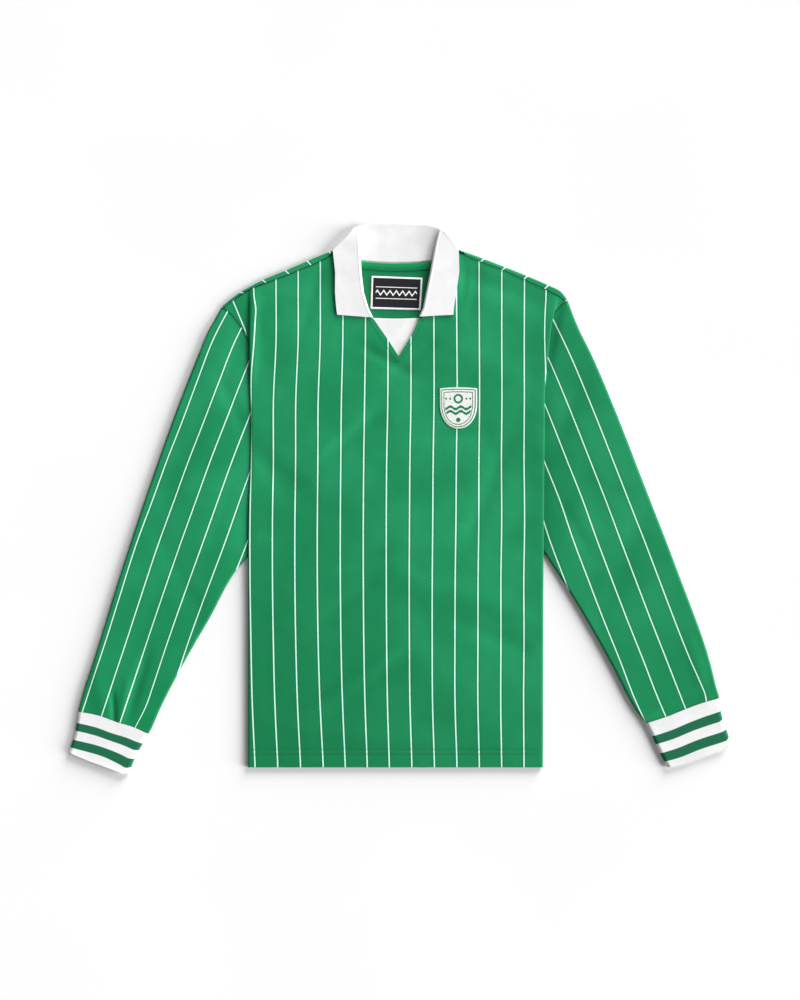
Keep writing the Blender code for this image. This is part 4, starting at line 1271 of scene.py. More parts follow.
@dataclass
class Sewing:
    """Rows of stitches that lie on the cloth."""

    name: str
    node: str
    colour: str = "#0D5C3A"
    pitch: float = 3.0
    length: float = 2.1
    radius: float = 0.3

    def build(self, recipe: StitchRow, lines: Sequence[Array]) -> Piece:
        """Sews along the lines.

        Args:
            recipe: the stitching tree.
            lines: each an (n, 3) run of points in millimetres.

        Returns:
            The stitches as one mesh.
        """
        points, edges, start = [], [], 0
        for line in lines:
            points.append((line - np.array([*PLAN_CENTRE, 0.0])) * MM)
            edges += [(start + i, start + i + 1) for i in range(len(line) - 1)]
            start += len(line)
        mesh = bpy.data.meshes.new(self.name)
        mesh.from_pydata(np.concatenate(points).tolist(), edges, [])
        piece = bpy.data.objects.new(self.name, mesh)
        bpy.context.scene.collection.objects.link(piece)
        finish = Thread(f"sewing_thread_{self.name}", self.colour).make()
        sizes = {"Pitch": self.pitch * MM, "Length": self.length * MM, "Radius": self.radius * MM}
        recipe.apply(piece, finish, **sizes)
        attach(piece, "root")
        LOG.info("%s: %d faces", piece.name, len(piece.data.polygons))
        return piece


# ---------------------------------------------------------------- pieces


def body_stripes(x: Array, y: Array) -> Array:
    """How many stripes across the body a place is, counted from the wearer's right.

    Args:
        x: places across the flat cloth.
        y: places up from the hem.

    Returns:
        The count at each place.
    """
    rows = np.array(BODY_STRIPE_ROWS)
    places = smooth(rows[:, 0], rows[:, 1:], np.clip(y, rows[0, 0], rows[-1, 0]).ravel())
    flat_x = x.ravel()
    for i, stripe in enumerate(BODY_STRIPES[:-1]):
        share = (flat_x - places[:, i]) / (places[:, i + 1] - places[:, i])
        beyond = stripe + (BODY_STRIPES[i + 1] - stripe) * share
        count = np.where(share >= 0, beyond, count) if i else beyond
    count = count.reshape(x.shape)
    for wander in BODY_WANDER:
        count = wandering(count, y, wander)
    return count


def wandering(count: Array, y: Array, wander: tuple[float, Rows]) -> Array:
    """Stripe counts once a single stripe has wandered aside, as its rows of y and dx say.

    Args:
        count: stripes at each place.
        y: height of each place.
        wander: the stripe and its rows.

    Returns:
        The new count at each place.
    """
    stripe, rows = wander
    known = np.array(rows)
    shift = smooth(known[:, 0], known[:, 1], np.clip(y, known[0, 0], known[-1, 0]).ravel()).reshape(y.shape)
    return count - shift / STRIPE_PITCH * np.exp(-(((count - stripe) / WANDER_REACH) ** 2))


@dataclass
class FrontPanel:
    """The front: flat in the middle, turned under at the sides, with a V neck and a tuck at each armhole."""

    step: float = 4.2
    hidden_share: tuple[float, ...] = (1.0, 0.5, 0.18)  # of the turned strip's width
    seam_share: tuple[float, ...] = (0.0, 0.4, 0.8)  # of the way from the armhole's seam to the fold
    face_reach: tuple[float, ...] = (0.0, 0.25, 0.7, 2.2, 6.0)  # in from the fold
    key_rows: tuple[float, ...] = (
        0, 8, 45, 90, 130, 180, 220, 250, 270, 290, 320, 360, 405, 450, 495, 535, 570, 604, 626, 648, 664,
    )
    turned_slope: Pair = (0.923, 0.384)  # across the stripes of the corner that folds over
    turned_start: Pair = (-234.5, 663.6)  # a place on its first stripe
    bent_below: float = 570.0
    near_hem: tuple[float, ...] = (0, 1.5, 4, 8, 12, 15.5, 17, 18.5, 20, 22, 24, 25.7, 27.4, 30, 34)

    def rows(self) -> Array:
        """Places of the fine rows, counted in key rows: close together at the hem stitches.

        Returns:
            The places, in rising order.
        """
        last = self.key_rows[-1]
        fine = np.concatenate([self.near_hem, np.arange(38, last, self.step), [last]])
        places = np.interp(fine, self.key_rows, np.arange(len(self.key_rows)))
        return np.concatenate([places, len(self.key_rows) - 1 + np.linspace(0, 1, 6)[1:]])

    def side(self, side: Side) -> tuple[Array, Array, Array]:
        """The columns round a side fold, from the hidden end to the face.

        Args:
            side: which fold.

        Returns:
            Outer points, inner points and flat x in millimetres, one row for each fine row.
        """
        rows = [self.key_row(side, y) for y in [*self.key_rows, None]]
        return self.refine(side, *(np.array(part) for part in zip(*rows)))

    def key_row(self, side: Side, y: float | None) -> tuple[Array, Array, Array]:
        """One row of eight points round a side fold.

        Args:
            side: which fold.
            y: height of the row, or None for the last one, at the end of the shoulder.

        Returns:
            Outer points, inner points and flat x in millimetres.
        """
        at = SHOULDER_ROW if y is None else float(y)
        line, base = float(fold_x(side, at)), float(side_value("base", at))
        reach, hidden = side.inward * np.array(self.face_reach), side.inward * np.array(self.hidden_share)
        if y is not None and y not in SEAM_SHARES[side]:
            tuck = 0.0 if y == CUT_OFF_ROW[side] else float(side_value("tuck", at))
            x = np.concatenate([line + tuck * hidden, line + reach])
            flat_x = np.concatenate([line - tuck * hidden, line + reach])
            row_y = np.full(len(x), at)
            shape, turn = (TURNED, 1.0) if tuck else (CUT_OFF, 0.0)
            level, shift = np.array(shape.level), np.array(shape.shift)
        else:
            end = FRONT_TOP[side][0] if y is None else beside_armhole(side, [SEAM_SHARES[side][y]])[0]
            share = np.array(self.seam_share)
            x = np.concatenate([end[0] + share * (line - end[0]), line + reach])
            flat_x = x
            if y is None:
                known = np.array(sorted(FRONT_TOP[side]))
                row_y = np.interp(x, known[:, 0], known[:, 1])
            else:
                row_y = np.concatenate([end[1] + share * (y - end[1]), np.full(len(reach), at)])
            crisp = 0.0 if y is None else float(ease((676 - y) / 40))
            level = crisp * np.array(STEPPED.level) + (1 - crisp) * np.array(SLOPED)
            shift, turn = crisp * np.array(STEPPED.shift), -1.0
        top = front_height(x, row_y)
        z = base + level * (top - base)
        z_in = base + turn * CLOTH + level * (top - base - (1 + turn) * CLOTH)
        inner_x = x + side.inward * shift * CLOTH
        return np.column_stack([x, row_y, z]), np.column_stack([inner_x, row_y, z_in]), flat_x

    def refine(self, side: Side, outer: Array, inner: Array, flat: Array) -> tuple[Array, Array, Array]:
        """Fine rows and columns between the key rows of a side fold.

        Args:
            side: which fold.
            outer: points of the key rows.
            inner: those of the inner face.
            flat: their flat x.

        Returns:
            The same three for the fine rows.
        """
        places = self.rows()
        low = np.clip(places.astype(int), 0, len(outer) - 2)
        share = (places - low)[:, None]
        packed = np.concatenate([outer, inner, flat[..., None]], axis=-1)
        rows = (1 - share[..., None]) * packed[low] + share[..., None] * packed[low + 1]
        # Straight lines between the key rows give way to the smooth line of the fold
        y, key_x = rows[:, 5, 1], fold_x(side, packed[:, 5, 1])
        bend = fold_x(side, y) - ((1 - share[:, 0]) * key_x[low] + share[:, 0] * key_x[low + 1])
        bend = np.where(y < self.bent_below, bend, 0.0)
        for x_column in (0, 3, 6):
            rows[..., x_column] += bend[:, None]
        columns = np.concatenate([np.linspace(0, 4, 13), np.linspace(4, 7, 8)[1:]])
        made = np.array([through_like(row[:, :3], row, columns) for row in rows])
        return made[..., :3], made[..., 3:6], made[..., 6]

    def top(self, first: Array, last: Array) -> Array:
        """The front's upper edge at fine steps: shoulder, neckline, V, neckline, shoulder.

        Args:
            first: upper end of the right fold's columns.
            last: the same on the left.

        Returns:
            (points, 2) places.
        """
        right = [row for row in FRONT_TOP[RIGHT] if row[0] > first[0] + 8]
        left = [row for row in FRONT_TOP[LEFT] if row[0] < last[0] - 8]
        runs = [
            evenly([tuple(first), *right], self.step),
            evenly(FRONT_NECK[RIGHT], self.step),
            evenly([*V_EDGE[RIGHT], V_TIP], 3.0),
            evenly([V_TIP, *V_EDGE[LEFT][::-1]], 3.0)[1:],
            evenly(FRONT_NECK[LEFT][::-1], self.step),
            evenly([*left[::-1], tuple(last)], self.step),
        ]
        return np.vstack(runs)

    def build(self) -> Piece:
        """Builds the panel.

        Returns:
            The panel.
        """
        outer, inner, spread, bounds = {}, {}, {}, {}
        for side in Side:
            outer[side], inner[side], spread[side] = self.side(side)
            bounds[side] = outer[side][:, -1, :2]
        first, last = bounds[RIGHT][-1], bounds[LEFT][-1]
        top = self.top(first, last)
        share = (top[:, 0] - first[0]) / (last[0] - first[0])
        low = bounds[RIGHT][0] + share[:, None] * (bounds[LEFT][0] - bounds[RIGHT][0])
        up = bounds[RIGHT][:, 1] / first[1]
        plan = coons(low, top, bounds[RIGHT], bounds[LEFT], share, up)[:, 1:-1]
        face = np.dstack([plan, front_height(plan[..., 0], plan[..., 1])])
        face_in = face - (0, 0, CLOTH)
        whole = np.concatenate([outer[RIGHT], face, outer[LEFT][:, ::-1]], axis=1)
        whole_in = np.concatenate([inner[RIGHT], face_in, inner[LEFT][:, ::-1]], axis=1)
        flat_x = np.concatenate([spread[RIGHT], plan[..., 0], spread[LEFT][:, ::-1]], axis=1)
        count = self.stripe_count(whole[..., 0], flat_x, whole[..., 1])
        flat = np.dstack([count * STRIPE_PITCH, whole[..., 1]]) * MM
        return open_wall("front_cloth", whole, whole_in, flat)

    def stripe_count(self, x: Array, flat_x: Array, y: Array) -> Array:
        """Stripes across the panel, turned where its corner folds over at the right armhole.

        Args:
            x: places across.
            flat_x: the same before the sides are turned under.
            y: places up from the hem.

        Returns:
            The count at each place.
        """
        count = body_stripes(flat_x, y)
        line = fold_x(RIGHT, y)
        beyond = ease((line - x) / 5.0) * ease((y - 596) / 14)
        a, b = self.turned_slope
        turned = -1 + ((x - self.turned_start[0]) * a + (y - self.turned_start[1]) * b) / STRIPE_PITCH
        return np.where(x < line, count + beyond * (turned - count), count)


def through_like(guide: Array, values: Array, places: Array) -> Array:
    """Smooth values at places counted in points, spaced as the guide's points are."""
    length = lengths(guide)
    return smooth(length, values, np.interp(places, np.arange(len(guide)), length))


def beside_armhole(side: Side, at: Any) -> Array:
    """Points at shares of the armhole's length, moved into the body by the gap of that seam.

    Args:
        side: which armhole.
        at: shares of its length.

    Returns:
        (shares, 2) places.
    """
    at = np.asarray(at, float)
    step = along(ARMHOLE[side], np.minimum(at + 0.01, 1)) - along(ARMHOLE[side], np.maximum(at - 0.01, 0))
    inward = side.inward * np.stack([-step[:, 1], step[:, 0]], axis=1)
    return along(ARMHOLE[side], at) + TURN_GAP * inward / np.linalg.norm(inward, axis=1, keepdims=True)


@dataclass
class BackPanel:
    """The back: flat on the ground, with its shoulders rolled over the top edge to the front seam."""

    step: float = 4.6
    turns: int = 12
    tick_slant: float = 2.7  # how far a stripe moves aside on the turned shoulder
    neck_turn: tuple[float, ...] = (0.7, 0.4, 0.15, 0.0, 0.0, 0.0, 0.0)
    near_hem: tuple[float, ...] = (1.0, 3.0, 6.0, 11.0, 15.5, 18.5, 22.0, 25.7, 30.0)

    def rim(self) -> Array:
        """The upper edge at fine steps: x, y and how far it turns over.

        Returns:
            (points, 3) rows.
        """
        sides = []
        for side in Side:
            edge = evenly([(x, y, 1.0) for x, y in SHOULDER_EDGE[side]], self.step)
            turned = [(*point, turn) for point, turn in zip(BACK_NECK[side], self.neck_turn)]
            neck = evenly(turned, self.step)
            sides.append(np.concatenate([edge, neck]))
        middle = evenly([BACK_NECK[RIGHT][-1], BACK_NECK_MIDDLE, BACK_NECK[LEFT][-1]], self.step)[1:-1]
        made = np.vstack([sides[0], np.column_stack([middle, np.zeros(len(middle))]), sides[1][::-1]])
        made[:, 2] = np.clip(made[:, 2], 0, 1)
        return made

    def side(self, side: Side) -> Array:
        """Edge points from the hem to the end of the shoulder, clear of the sleeve.

        Args:
            side: which edge.

        Returns:
            (points, 2) places.
        """
        x = float(fold_x(side, 0.0)) + side.inward * (float(side_value("tuck", 0.0)) + SEAM_GAP)
        low = [(x, y) for y in (*self.near_hem, *np.arange(36, 284, 5.2), 285.0)]
        return np.vstack([low, beside_armhole(side, np.linspace(1, 0, 75))])

    def rolled(self, turn: Array, height: Array, strip: Array) -> tuple[Array, Array, Array]:
        """Paths over the edge.

        Args:
            turn: share of the whole turn that each rim point makes.
            height: height of the whole turn.
            strip: how far the turned cloth reaches in.

        Returns:
            Distance in from the rim, height and angle turned, a row for each rim point.
        """
        angles = np.radians(np.concatenate([np.linspace(0, 180, self.turns + 1), [180, 180, 180]]))
        angle = turn[:, None] * angles
        bend = np.diff(angles) * (height / 2.0)[:, None]
        step = turn[:, None] * bend + (1 - turn)[:, None] * 0.35
        middle = 0.5 * (angle[:, 1:] + angle[:, :-1])
        out = np.pad(np.cumsum(step * np.cos(middle), axis=1), ((0, 0), (1, 0)))
        z = np.pad(np.cumsum(step * np.sin(middle), axis=1), ((0, 0), (1, 0)))
        reach = out.max(axis=1, keepdims=True) - out
        last = reach[:, -4]
        far = np.maximum(strip, last + 0.5)
        for k, share in ((-3, 0.33), (-2, 0.67), (-1, 1.0)):
            reach[:, k] = np.where(turn > 0.98, last + share * (far - last), reach[:, k])
        return reach, z, angle

    def build(self) -> Piece:
        """Builds the panel.

        Returns:
            The panel.
        """
        rim = self.rim()
        right, left = self.side(RIGHT), self.side(LEFT)
        share = (rim[:, 0] - rim[0, 0]) / (rim[-1, 0] - rim[0, 0])
        tangent = np.gradient(rim[:, :2], axis=0)
        outward = np.stack([-tangent[:, 1], tangent[:, 0]], axis=1)
        outward /= np.linalg.norm(outward, axis=1, keepdims=True)
        height = np.interp(np.abs(rim[:, 0]), [150, 250], [NECK_HEIGHT, SHOULDER_END_HEIGHT])
        strip = np.linalg.norm(rim[:, :2] - shoulder_seam(rim), axis=1) - STRIP_GAP
        reach, z, angle = self.rolled(rim[:, 2], height, strip)
        roll = self.over(rim, outward, reach, z)
        roll_in = self.over(rim, outward, reach + CLOTH * np.sin(angle), z + CLOTH * np.cos(angle))
        right[-1], left[-1] = roll[0, 0, :2], roll[0, -1, :2]
        low = right[0] + share[:, None] * (left[0] - right[0])
        up = (right[:, 1] - right[0, 1]) / (right[-1, 1] - right[0, 1])
        plan = coons(low, roll[0, :, :2], right, left, share, up)
        clear = ease((700 - plan[..., 1]) / 30) * ease((plan[..., 1] - 5) / 30)
        clear = clear * ease(np.minimum(plan[..., 0] - plan[:, :1, 0], plan[:, -1:, 0] - plan[..., 0]) / 25)
        ground = np.dstack([plan, creases_at(BACK_CREASES, plan[..., 0], plan[..., 1]) * clear])
        outer = np.concatenate([ground[:-1], roll])
        inner = np.concatenate([ground[:-1] + (0, 0, CLOTH), roll_in])
        body = self.stripe_count(plan[..., 0])
        slant = self.tick_slant / STRIPE_PITCH * np.clip(reach / strip[:, None], 0, 1)
        slant = slant * (angle > 0.5 * math.pi)
        count = np.concatenate([body[:-1], body[-1:] + np.sign(rim[:, 0]) * slant.T])
        flat_y = np.concatenate([plan[:-1, :, 1], plan[-1:, :, 1] + np.linspace(0, 12, len(roll))[:, None]])
        return open_wall("back_cloth", outer, inner, np.dstack([count * STRIPE_PITCH, flat_y]) * MM)

    def stripe_count(self, x: Array) -> Array:
        """How many stripes across the back a place is, counted from the wearer's right.

        Args:
            x: places across.

        Returns:
            The count at each place.
        """
        known, counts = zip(*BACK_STRIPES)
        body = np.interp(x, known, counts)
        body = np.where(x < known[0], counts[0] + (x - known[0]) / BACK_OUTER_PITCH[RIGHT], body)
        return np.where(x > known[-1], counts[-1] + (x - known[-1]) / BACK_OUTER_PITCH[LEFT], body)

    def over(self, rim: Array, outward: Array, reach: Array, z: Array) -> Array:
        """Rows of points at distances in from the rim and at heights, one row for each column of reach."""
        plan = rim[:, None, :2] - outward[:, None] * reach[..., None]
        return np.dstack([plan, z]).transpose(1, 0, 2)


def shoulder_seam(rim: Array) -> Array:
    """The point of the front's top seam nearest to each rim point.

    Args:
        rim: points of the back's upper edge.

    Returns:
        (points, 2) places on the seam.
    """
    nearest = []
    for x, y in rim[:, :2]:
        rows = np.array(FRONT_TOP[RIGHT if x < 0 else LEFT])
        fine = evenly(rows, 1.0)
        nearest.append(fine[np.argmin(np.hypot(fine[:, 0] - x, fine[:, 1] - y))])
    return np.array(nearest)


@dataclass
class FlatTube:
    """A flattened tube of cloth between an outer and an inner fold."""

    side: Side
    thickness: float
    reach: float  # how far in from a fold its round edge goes
    fold_share: float = 0.45  # height of the folds, as a share of the tube's
    belly: float = 3.2  # how far in the underside leaves the ground

    def ring(self, points: Array, upper: Array, lower: Array) -> Array:
        """Upper face from the outer to the inner fold, then the underside back again."""
        return np.concatenate([np.dstack([points, upper]), np.dstack([points, lower])[:, -2:0:-1]], axis=1)

    def heights(self, gap: Array, height: Array) -> tuple[Array, Array]:
        """Upper and lower face at a distance from the nearest fold.

        Args:
            gap: that distance.
            height: full height of the tube there.

        Returns:
            Height of the upper and of the lower face.
        """
        s = np.clip(gap / self.reach, 0, 1)
        top = height * (self.fold_share + (1 - self.fold_share) * (1 - (1 - s) ** 2.2) ** 0.55)
        return top, height * self.fold_share * (1 - np.clip(gap / self.belly, 0, 1)) ** 2

    def inside(self, plan: Array) -> Array:
        """Plan points of the inner face, moved in from both folds by the wall.

        Args:
            plan: (rows, columns, 2) points of the outer face.

        Returns:
            The moved points.
        """
        middle = 0.5 * (plan[:, 0] + plan[:, -1])
        axis = np.gradient(middle, axis=0)
        across = plan[:, -1] - plan[:, 0]
        width = np.linalg.norm(across, axis=-1)
        square = np.abs(axis[:, 0] * across[:, 1] - axis[:, 1] * across[:, 0])
        cosine = square / (np.linalg.norm(axis, axis=1) * width)
        share = 1 - 2 * self.thickness / (width * np.clip(cosine, 0.35, 1))
        return middle[:, None] + (plan - middle[:, None]) * share[:, None, None]

    def tube(
        self, name: str, plan: Array, gap: Array, height: Array, relief: Array, flat: tuple[Array, Array]
    ) -> Piece:
        """Builds the wall.

        Args:
            name: the piece's name.
            plan: (rows, columns, 2) points between the folds.
            gap: their distance from the nearest fold.
            height: full height of the tube there.
            relief: creases of the upper face.
            flat: flat places of the upper and the lower face, in metres.

        Returns:
            The tube.
        """
        top, bottom = self.heights(gap, height)
        squeeze = (height - 2 * self.thickness) / height
        top_in, bottom_in = self.thickness + top * squeeze + relief, self.thickness + bottom * squeeze
        outer = self.ring(plan, top + relief, bottom)
        inner = self.ring(self.inside(plan), top_in, bottom_in)
        above, below = flat[0], flat[1][:, ::-1]
        starts = np.concatenate([above[:, :-1], below[:, :-1]], axis=1)
        ends = np.concatenate([above[:, 1:], below[:, 1:]], axis=1)
        return wall(name, outer, inner, starts, ends, closed=True)


@dataclass
class Sleeve(FlatTube):
    """A sleeve: a flattened tube between its outer and inner folds, from the armhole to the cuff."""

    side: Side = RIGHT
    thickness: float = CLOTH
    reach: float = 2.8
    columns: int = 84
    rows: int = 130
    dip_near: float = 30.0  # how far from the body the left sleeve's head rises to its full height
    dip_far: float = 62.0  # the same further down and on the right sleeve
    valley: float = 0.95  # share of that rise which a narrow hollow takes beside the left armhole
    valley_width: float = 7.0
    turned_limit: float = -0.85  # where the stripes stop on the fold at the shoulder

    def stripe_count(self, plan: Array) -> Array:
        """How many stripes across the sleeve each place is.

        Args:
            plan: (rows, columns, 2) places.

        Returns:
            The count at each place.
        """
        table = np.array(SLEEVE_STRIPE_ROWS[self.side])
        y = plan[..., 1]
        outer_line = smooth(table[:, 0], table[:, 1], y.ravel()).reshape(y.shape)
        inner_line = smooth(table[:, 0], table[:, 2], y.ravel()).reshape(y.shape)
        count = 3 * (plan[..., 0] - outer_line) / (inner_line - outer_line)
        count = np.where(y > 600, np.maximum(count, self.turned_limit), count)
        stripe, rows = SLEEVE_WANDER[self.side]
        return wandering(count, y, (stripe, [(at, self.side.inward * dx) for at, dx in rows]))

    def slack(self, clear: Array, y: Array) -> Array:
        """How far the sleeve is pressed down beside the body, from 0 to 1.

        Args:
            clear: distance from the armhole and the front's fold.
            y: height up from the hem.

        Returns:
            1 at the armhole, 0 where the sleeve has its full height.
        """
        near = self.dip_near if self.side is LEFT else self.dip_far
        dip = near + (self.dip_far - near) * ease((590 - y) / 60)
        valley = self.valley * (0.35 + 0.65 * ease((y - 560) / 40)) if self.side is LEFT else 0.0
        wide = (1 - np.clip(clear / dip, 0, 1)) ** 2
        return (1 - valley) * wide + valley * np.exp(-np.maximum(clear, 0) / self.valley_width)

    def build(self) -> Piece:
        """Builds the sleeve.

        Returns:
            The sleeve.
        """
        side = self.side
        bend = np.linspace(0, 1, self.columns)
        across = 0.35 * bend + 0.65 * (0.5 - 0.5 * np.cos(np.pi * bend))
        stations = np.linspace(0, 1, self.rows)
        plan = coons(
            along(ARMHOLE[side], across),
            along(CUFF_SEAM[side], across),
            along(SLEEVE_OUTER[side], stations),
            along(SLEEVE_INNER[side], stations),
            across,
            stations,
        )
        gap = np.minimum(distance_to(plan, plan[:, 0]), distance_to(plan, plan[:, -1]))
        gap[:, [0, -1]] = 0
        x, y = plan[..., 0], plan[..., 1]
        clear = np.minimum(distance_to(plan, ARMHOLE[side]), side.inward * (fold_x(side, y) - x))
        height = SLEEVE_HEIGHT - (SLEEVE_HEIGHT - ARMHOLE_HEIGHT) * self.slack(clear, y)
        relief = creases_at(SLEEVE_CREASES[side], x, y) * ease(gap / 12)
        relief = relief * np.where(relief > 0, ease((clear - 4) / 18), ease((clear + 1) / 6))
        count = self.stripe_count(plan)
        down = np.repeat(lengths(plan[:, self.columns // 2])[:, None], self.columns, axis=1)
        above = np.dstack([count * STRIPE_PITCH, down]) * MM
        below = np.dstack([(2 * count[:, :1] - count) * STRIPE_PITCH, down]) * MM
        return self.tube(f"sleeve_{side.value}_cloth", plan, gap, height, relief, (above, below))


@dataclass
class Cuff(FlatTube):
    """A rib cuff: a flattened tube from the sleeve's end to its own, with two bands."""

    side: Side = RIGHT
    thickness: float = RIB
    reach: float = 5.5
    columns: int = 150
    rows: int = 22
    flat_width: float = 105.0
    wale: float = 2.6
    wale_depth: float = 0.1
    edge_rise: float = 0.25

    def build(self, recipe: RibRelief, finish: Material) -> Piece:
        """Builds the cuff and knits its ribs.

        Args:
            recipe: the tree that raises the ribs.
            finish: the rib's material.

        Returns:
            The cuff.
        """
        side = self.side
        across, stations = np.linspace(0, 1, self.columns), np.linspace(0, 1, self.rows)
        start, end = along(CUFF_SEAM[side], across), along(CUFF_END[side], across)
        down = end - start
        start = start + 1.3 * SEAM_GAP * down / np.linalg.norm(down, axis=1, keepdims=True)
        outer, inner = along(CUFF_OUTER[side], stations), along(CUFF_INNER[side], stations)
        outer[0], inner[0] = start[0], start[-1]
        plan = coons(start, end, outer, inner, across, stations)
        gap = np.minimum(distance_to(plan, outer), distance_to(plan, inner))
        gap[:, [0, -1]] = 0
        bands = smooth([0.0, 0.5, 1.0], BAND_SHARES[side], across)
        v = np.stack([np.interp(stations, [0, *row, 1], [0, *BAND_EDGES, 1]) for row in bands], axis=1)
        u = np.repeat(across[None] * self.flat_width * MM, self.rows, axis=0)
        flat = np.dstack([u, v]), np.dstack([2 * self.flat_width * MM - u, v])
        lift = self.edge_rise * np.exp(-(((stations - 1) / 0.05) ** 2))[:, None] * ease(gap / 6)
        piece = self.tube(f"cuff_{side.value}_rib", plan, gap, np.full(gap.shape, CUFF_HEIGHT), lift, flat)
        ring = 2 * self.columns - 2
        count = np.arange(ring) / ring * round(2 * self.flat_width / self.wale)
        add_values(piece, "wale", np.tile(count, 2 * self.rows))
        return recipe.apply(piece, finish, Depth=self.wale_depth * MM)


@dataclass
class Collar:
    """The collar: one strip round the neck that lies flat at the back and turns over at the sides."""

    step: float = 3.0
    places: int = 49
    edge_bead: float = 0.18  # how much thicker the free edge is, on each face
    bead_place: float = 1.6  # in from that edge
    bead_width: float = 1.4
    crown_share: float = 0.75
    turn_reach: float = 1.1  # how far the turn's sides lie from its line, in bulges
    flat_reach: float = 2.2  # how far past the turn the cloth is held flat

    def sections(self) -> Array:
        """Nine key points of each section, from the seam to the free edge, at fine steps along the strip.

        Returns:
            (sections, 9, 3) points.
        """
        rows = [*COLLAR[RIGHT][::-1], COLLAR_BACK, *COLLAR[LEFT]]
        seam, fold, edge = (np.array(points) for points in list(zip(*rows))[:3])
        crown = np.array([[0.0, 0.0, self.crown_share * row.crown] for row in rows])
        under, over = self.beside(fold, seam, crown) - crown, self.beside(fold, edge, crown) + crown
        inside = [seam, 0.5 * (seam + under), self.past(under, seam), under]
        outside = [over, self.past(over, edge), 0.5 * (over + edge), edge]
        keys = np.stack([*inside, fold, *outside], axis=1)
        steps = np.linalg.norm(np.diff(edge, axis=0), axis=1) + np.linalg.norm(np.diff(seam, axis=0), axis=1)
        known = np.concatenate([[0], np.cumsum(0.5 * steps)])
        wanted = [known[0]]
        for start, end in zip(known[:-1], known[1:]):
            wanted += list(np.linspace(start, end, int(np.ceil((end - start) / self.step)) + 1)[1:])
        packed = np.array([np.interp(wanted, known, column) for column in keys.reshape(len(rows), -1).T]).T
        return packed.reshape(len(wanted), -1, 3)

    def past(self, point: Array, end: Array) -> Array:
        """Points a little further on towards the end, which keep the cloth flat beside its turn.

        Args:
            point: where they start.
            end: where they go.

        Returns:
            The points.
        """
        way = end - point
        length = np.linalg.norm(way, axis=1, keepdims=True)
        return point + way / length * np.minimum(self.flat_reach, 0.3 * length)

    def beside(self, fold: Array, end: Array, crown: Array) -> Array:
        """Points of the sections next to the fold line on the way to their end.

        Args:
            fold: points of the fold line.
            end: the seam or the free edge.
            crown: how far the turn bulges.

        Returns:
            The points.
        """
        way = end - fold
        length = np.linalg.norm(way, axis=1, keepdims=True)
        radius = crown[:, 2:]
        turned = np.minimum(self.turn_reach * radius, 0.3 * length)
        return fold + way / length * np.where(radius > 0, turned, 0.14 * length)

    def build(self) -> Piece:
        """Builds the strip, with a bead along its free edge.

        Returns:
            The collar.
        """
        places = np.linspace(0, 8, self.places)
        middle = np.array([through(section, places) for section in self.sections()])
        normal = face_normals(middle)
        way = np.array([lengths(row) for row in middle])
        to_edge = way[:, -1:] - way
        bead = self.edge_bead * np.exp(-(((to_edge - self.bead_place) / self.bead_width) ** 2))
        half = (0.5 * RIB + bead)[..., None]
        run = lengths(middle[:, self.places // 2])
        flat = np.dstack([np.repeat(run[:, None], self.places, axis=1), way]) * MM
        return open_wall("collar_rib", middle + half * normal, middle - half * normal, flat)


